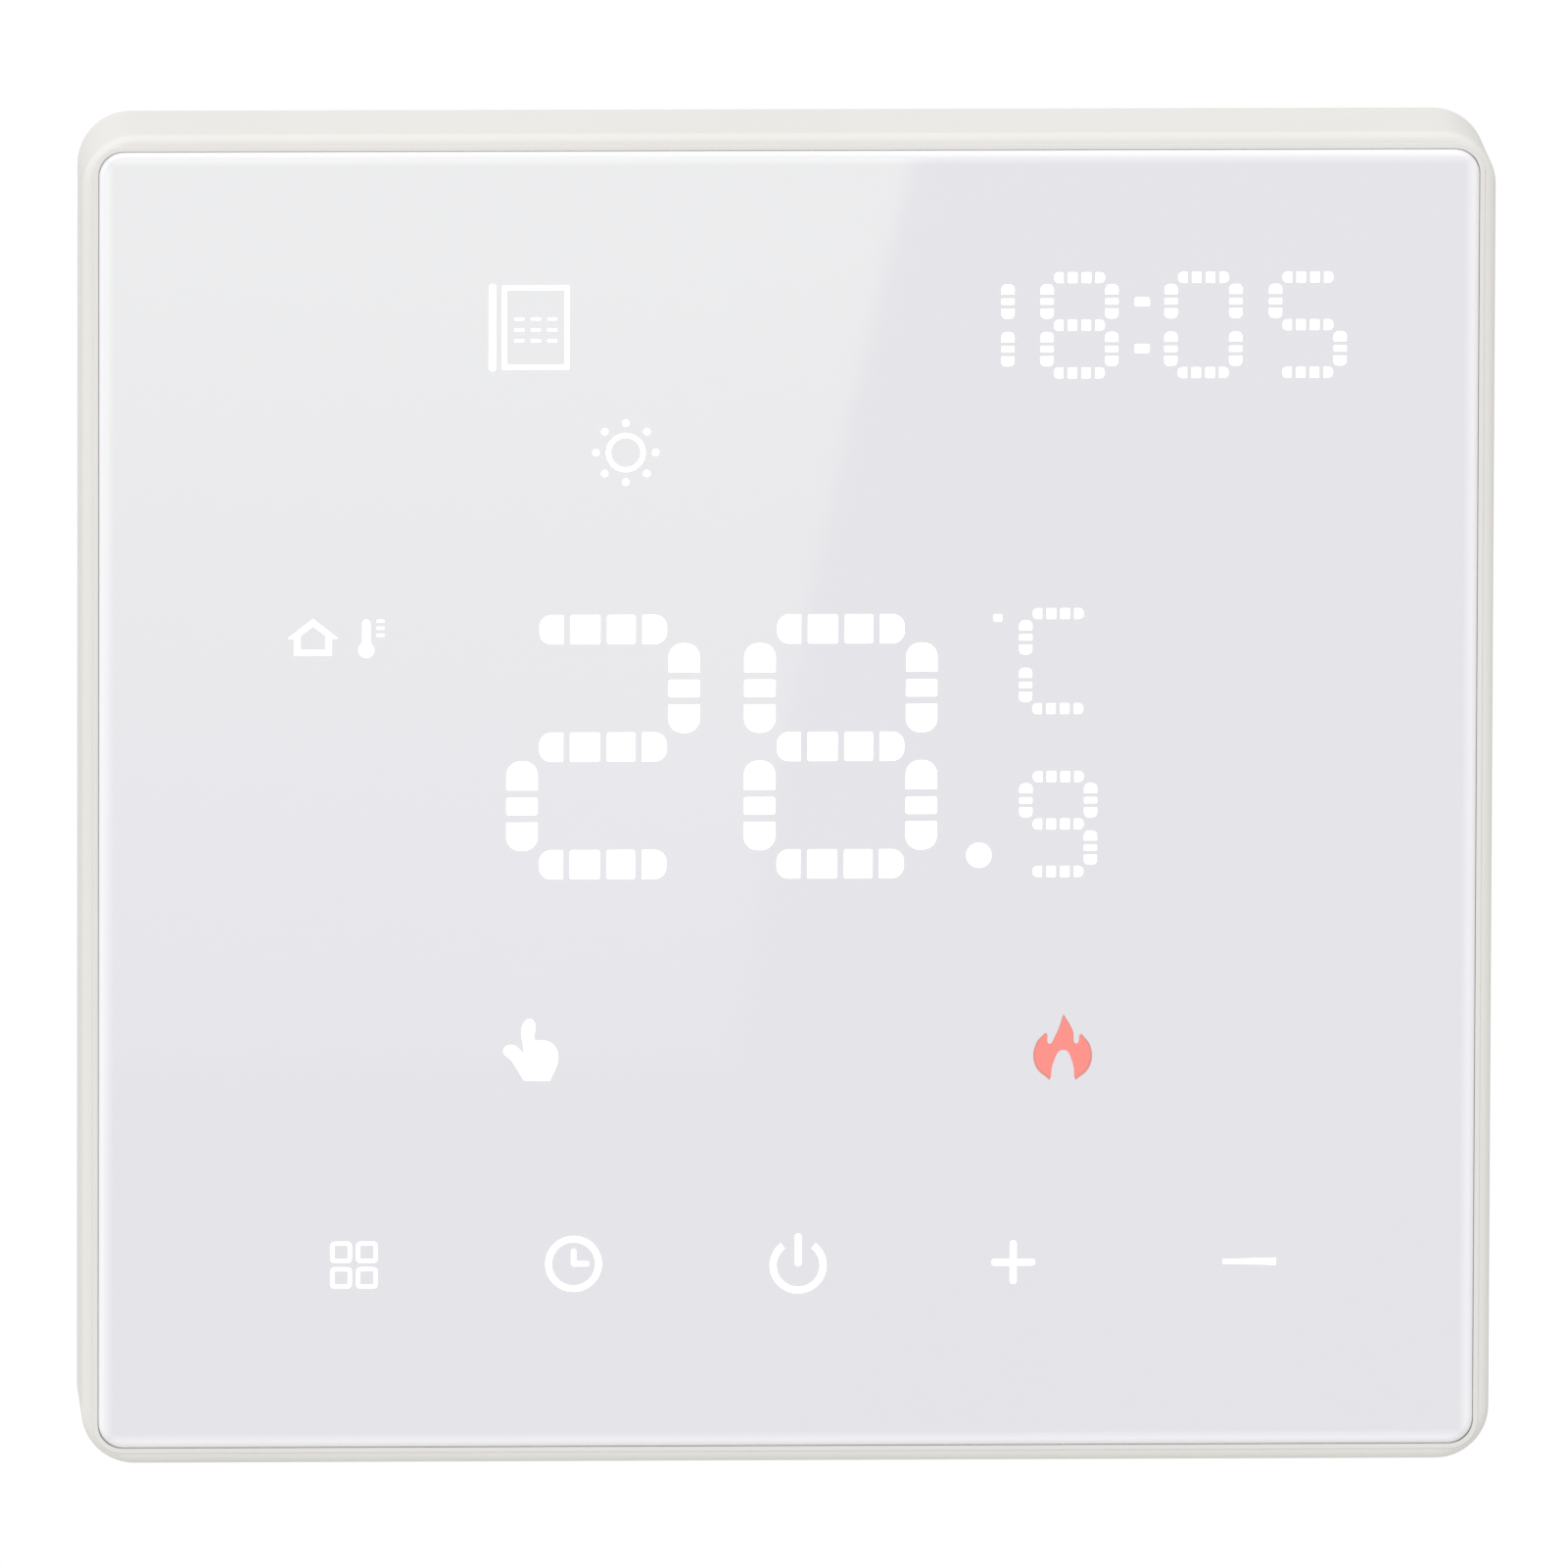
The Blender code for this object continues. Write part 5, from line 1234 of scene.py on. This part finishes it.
def digitsPiece():
    cells = litDigit("2", -11.8 * mm, 3.45 * mm, bigDigit) + litDigit("8", 3.35 * mm, 3.45 * mm, bigDigit)
    cells.append(litCell(12.2 * mm, -3.6 * mm, 1.6 * mm, 1.6 * mm, 0.78 * mm, 8))
    cells += litDigit("9", 17.25 * mm, -1.6 * mm, smallDigit)
    cells += litDigit("C", 17.2 * mm, 8.9 * mm, smallDigit)
    cells.append(litCell(13.35 * mm, 11.7 * mm, 0.55 * mm, 0.45 * mm, 0.1 * mm))
    for sign, x in zip("1805", (11.85, 18.47, 26.37, 33.03)):
        cells += litDigit(sign, x * mm, 30.5 * mm, smallDigit)
    for end in (-1, 1):
        cells.append(litCell(22.47 * mm, (30.5 + end * 1.5) * mm, 0.95 * mm, 0.55 * mm, 0.1 * mm))
    digits = joinAll("litDigits", cells)
    finishPiece(digits, "front_unit", signWhite)


digitsPiece()
print("digits made")


def signsPiece():
    signs = []
    # day square with its bar
    signs.append(litCell(-18.9 * mm, 30.45 * mm, 0.45 * mm, 5.6 * mm, 0.2 * mm))
    signs.append(litFrame(-16.15 * mm, 30.45 * mm, 4.3 * mm, 5.4 * mm, 0.3 * mm, 0.1 * mm))
    for z in (31.0, 30.3, 29.6):
        for x in (-17.2, -16.15, -15.1):
            signs.append(litCell(x * mm, z * mm, 0.62 * mm, 0.16 * mm, 0.06 * mm))
    # sun
    signs.append(litRing(-10.4 * mm, 22.4 * mm, 1.1 * mm, 0.3 * mm))
    for index in range(8):
        angle = index * math.pi / 4
        signs.append(litCell((-10.4 + 1.9 * math.sin(angle)) * mm, (22.4 + 1.9 * math.cos(angle)) * mm,
                             0.45 * mm, 0.45 * mm, 0.22 * mm, 5))
    # touch row: squares, clock, power, plus, minus
    row = -29.9 * mm
    for x in (-28.45, -26.8):
        for z in (0.8, -0.85):
            signs.append(litFrame(x * mm, row + z * mm, 1.36 * mm, 1.36 * mm, 0.24 * mm, 0.25 * mm))
    signs.append(litRing(-13.6 * mm, row, 1.6 * mm, 0.4 * mm))
    signs.append(litLine(-13.6 * mm, row + 0.42 * mm, 1.1 * mm, 0.32 * mm, 90))
    signs.append(litLine(-13.15 * mm, row, 1.1 * mm, 0.32 * mm, 0))
    signs.append(litRing(0.75 * mm, row - 0.15 * mm, 1.6 * mm, 0.42 * mm, 76, True))
    signs.append(litLine(0.75 * mm, row + 0.85 * mm, 2.1 * mm, 0.42 * mm, 90))
    signs.append(litLine(14.5 * mm, row, 2.8 * mm, 0.42 * mm, 0))
    signs.append(litLine(14.5 * mm, row, 2.8 * mm, 0.42 * mm, 90))
    signs.append(litOutline("minus", [[(29.6 * mm + a * mm, row + b * mm) for a, b in
                                       ((-1.7, -0.14), (1.7, -0.22), (1.7, 0.22), (-1.7, 0.14))]]))
    return joinAll("litSigns", signs)


def pointsAt(x, z, size, shape):
    return [(x + size * px, z + size * pz, kind) for px, pz, kind in shape]


def handPiece():
    # a hand with one finger up, thumb to the left
    shape = [(-0.16, 1.0, "AUTO"), (0.05, 1.0, "AUTO"), (0.1, 0.35, "VECTOR"), (0.72, 0.2, "AUTO"),
             (0.88, -0.25, "AUTO"), (0.62, -1.0, "VECTOR"), (-0.22, -1.0, "VECTOR"), (-0.62, -0.35, "AUTO"),
             (-0.9, 0.02, "AUTO"), (-0.62, 0.18, "AUTO"), (-0.24, -0.12, "VECTOR")]
    return litOutline("hand", [pointsAt(-16.35 * mm, -16.1 * mm, 1.95 * mm, shape)])


def roomPiece():
    # a small house with a thermometer beside it, in place of a word
    x, z = -28.9 * mm, 10.4 * mm
    outer = [(-2.6, -1.0), (-0.2, -1.0), (-0.2, 0.1), (0.2, 0.1), (-1.4, 1.35), (-3.0, 0.1), (-2.6, 0.1)]
    inner = [(-2.2, -0.65), (-2.2, 0.28), (-1.4, 0.88), (-0.6, 0.28), (-0.6, -0.65)]
    house = litOutline("house", [[(x + a * mm, z + b * mm) for a, b in loop] for loop in (outer, inner)])
    stem = litCell(x + 2.0 * mm, z + 0.35 * mm, 0.5 * mm, 1.9 * mm, 0.24 * mm, 6)
    bulb = litCell(x + 2.0 * mm, z - 0.65 * mm, 1.0 * mm, 1.0 * mm, 0.49 * mm, 8)
    marks = [litCell(x + 2.9 * mm, z + step * mm, 0.5 * mm, 0.18 * mm, 0.08 * mm) for step in (0.3, 0.75,
        1.2)]
    return [house, stem, bulb, *marks]


def flamePiece():
    # three tongues over a small arch
    shape = [(-0.38, -1.0, "VECTOR"), (-0.82, -0.55, "AUTO"), (-0.8, 0.1, "AUTO"), (-0.5, 0.45, "VECTOR"),
             (-0.42, 0.1, "AUTO"), (-0.22, 0.35, "AUTO"), (0.02, 1.0, "VECTOR"), (0.3, 0.5, "AUTO"),
             (0.42, 0.1, "AUTO"), (0.55, 0.42, "VECTOR"), (0.84, 0.0, "AUTO"), (0.8, -0.6, "AUTO"),
             (0.38, -1.0, "VECTOR"), (0.32, -0.5, "AUTO"), (0.02, -0.08, "AUTO"), (-0.3, -0.5, "AUTO")]
    flame = litOutline("litFlame", [pointsAt(17.6 * mm, -16.0 * mm, 1.98 * mm, shape)])
    finishPiece(flame, "front_unit", flameSalmon)
    rim = litOutline("litFlameRim", [pointsAt(17.6 * mm, -16.0 * mm, 2.14 * mm, shape)])
    rim.data.transform(Matrix.Translation((0, 0.006 * mm, 0)))
    finishPiece(rim, "front_unit", flameEdge)


signs = joinAll("litSigns", [signsPiece(), handPiece(), *roomPiece()])
finishPiece(signs, "front_unit", signWhite)
flamePiece()
print("signs made")


def studioCamera():
    view = {"azimuth": -2.5, "elevation": 8.6, "distance": 2.5, "lens": 898.5,
            "aim": (0.0, -0.0075, 0.00016)}
    az, el = math.radians(view["azimuth"]), math.radians(view["elevation"])
    back = Vector((math.sin(az) * math.cos(el), -math.cos(az) * math.cos(el), math.sin(el)))
    aim = Vector(view["aim"])
    data = bpy.data.cameras.new("camera")
    camera = bpy.data.objects.new("camera", data)
    bpy.context.scene.collection.objects.link(camera)
    data.lens = view["lens"]
    data.clip_end = 20
    camera.location = aim + back * view["distance"]
    level = 0.5 * math.atan(math.sin(el) * math.tan(-az))
    turn = Matrix.Rotation(level, 4, back) @ back.to_track_quat("Z", "Y").to_matrix().to_4x4()
    camera.rotation_euler = turn.to_euler()
    bpy.context.scene.camera = camera

    bpy.context.scene.view_settings.view_transform = "Standard"


def studioWorld():
    # plain white behind the object; the light itself falls off to the right, below and behind
    look = {"level": 1.02, "right": -0.17, "back": -0.165, "up": 0.33}
    world = bpy.data.worlds.new("studio")
    bpy.context.scene.world = world
    world.use_nodes = True
    tree = world.node_tree
    plain = tree.nodes["Background"]
    plain.inputs["Color"].default_value = (1, 1, 1, 1)
    slope = addNode(tree, "ShaderNodeVectorMath", operation="DOT_PRODUCT")
    slope.inputs[1].default_value = (look["right"], look["back"], look["up"])
    tree.links.new(addNode(tree, "ShaderNodeTexCoord").outputs["Generated"], slope.inputs[0])
    level = addNode(tree, "ShaderNodeMath", operation="ADD")
    level.inputs[1].default_value = look["level"]
    tree.links.new(slope.outputs["Value"], level.inputs[0])
    soft = addNode(tree, "ShaderNodeBackground")
    tree.links.new(level.outputs[0], soft.inputs["Strength"])
    pick = addNode(tree, "ShaderNodeMixShader")
    tree.links.new(addNode(tree, "ShaderNodeLightPath").outputs["Is Camera Ray"], pick.inputs[0])
    tree.links.new(soft.outputs[0], pick.inputs[1])
    tree.links.new(plain.outputs[0], pick.inputs[2])
    tree.links.new(pick.outputs[0], tree.nodes["World Output"].inputs["Surface"])


def softBox(name, place, target, size, power):
    light = bpy.data.lights.new(name, "AREA")
    light.shape = "RECTANGLE"
    light.size, light.size_y = size
    light.energy = power
    lamp = bpy.data.objects.new(name, light)
    bpy.context.scene.collection.objects.link(lamp)
    lamp.location = place
    direction = Vector(place) - Vector(target)
    lamp.rotation_euler = direction.to_track_quat("Z", "Y").to_euler()


def stageFloor():
    look = {"size": 2, "level": -0.6, "color": (0.7, 0.7, 0.69)}
    freshen()
    bpy.ops.mesh.primitive_plane_add(size=look["size"], location=(0, 0, look["level"]))
    floor = bpy.context.active_object
    floor.name = "floor"
    floor.data.materials.append(newMaterial("floorPale", look["color"], 0.8)[0])


def mirrorCard():
    # a large soft card seen only in the gloss of the glass, brightest at its top
    look = {"away": 1.0, "turn": 2.5, "drop": 8.6, "grow": 1.4, "top": 2.2, "bottom": 1.12}
    x0 = look["away"] * math.tan(math.radians(look["turn"]))
    z0 = -look["away"] * math.tan(math.radians(look["drop"]))
    edge = [(8.4, 46), (7.0, 40), (5.3, 33), (3.2, 24), (1.2, 15), (-0.6, 5), (-2.6, -8), (-3.6, -16)]
    outline = edge + [(-50, -16), (-50, 46)]
    curve = bpy.data.curves.new("card", "CURVE")
    curve.dimensions = "2D"
    curve.fill_mode = "BOTH"
    line = curve.splines.new("POLY")
    line.points.add(len(outline) - 1)
    for knot, (x, z) in zip(line.points, outline):
        knot.co = (x * mm * look["grow"], z * mm * look["grow"], 0, 1)
    line.use_cyclic_u = True
    card = bpy.data.objects.new("card", curve)
    bpy.context.collection.objects.link(card)
    pickOnly(card)
    bpy.ops.object.convert(target="MESH")
    card = bpy.context.active_object
    card.data.transform(Matrix.Rotation(math.radians(90), 4, "X"))
    card.location = (x0, -look["away"], z0)
    material = bpy.data.materials.new("cardGlow")
    material.use_nodes = True
    tree = material.node_tree
    tree.nodes.clear()
    parts = addNode(tree, "ShaderNodeSeparateXYZ")
    tree.links.new(addNode(tree, "ShaderNodeTexCoord").outputs["Object"], parts.inputs[0])
    glow = addNode(tree, "ShaderNodeEmission")
    power = rangeOf(tree, parts.outputs["Z"], look["bottom"], look["top"], -0.020, 0.05)
    tree.links.new(power, glow.inputs["Strength"])
    tree.links.new(rampOf(tree, rangeOf(tree, parts.outputs["Z"], 0, 1, -0.020, 0.05), 0, 0.8,
                          (1.0, 1.0, 1.0), (0.90, 1.0, 0.74)), glow.inputs["Color"])
    out = addNode(tree, "ShaderNodeOutputMaterial")
    tree.links.new(glow.outputs[0], out.inputs["Surface"])
    card.data.materials.append(material)


studioCamera()
studioWorld()
stageFloor()
mirrorCard()
softBox("keyTop", (-0.5, -0.9, 1.4), (0, 0, 0), (0.9, 0.6), 3.6)
print("camera and light set")
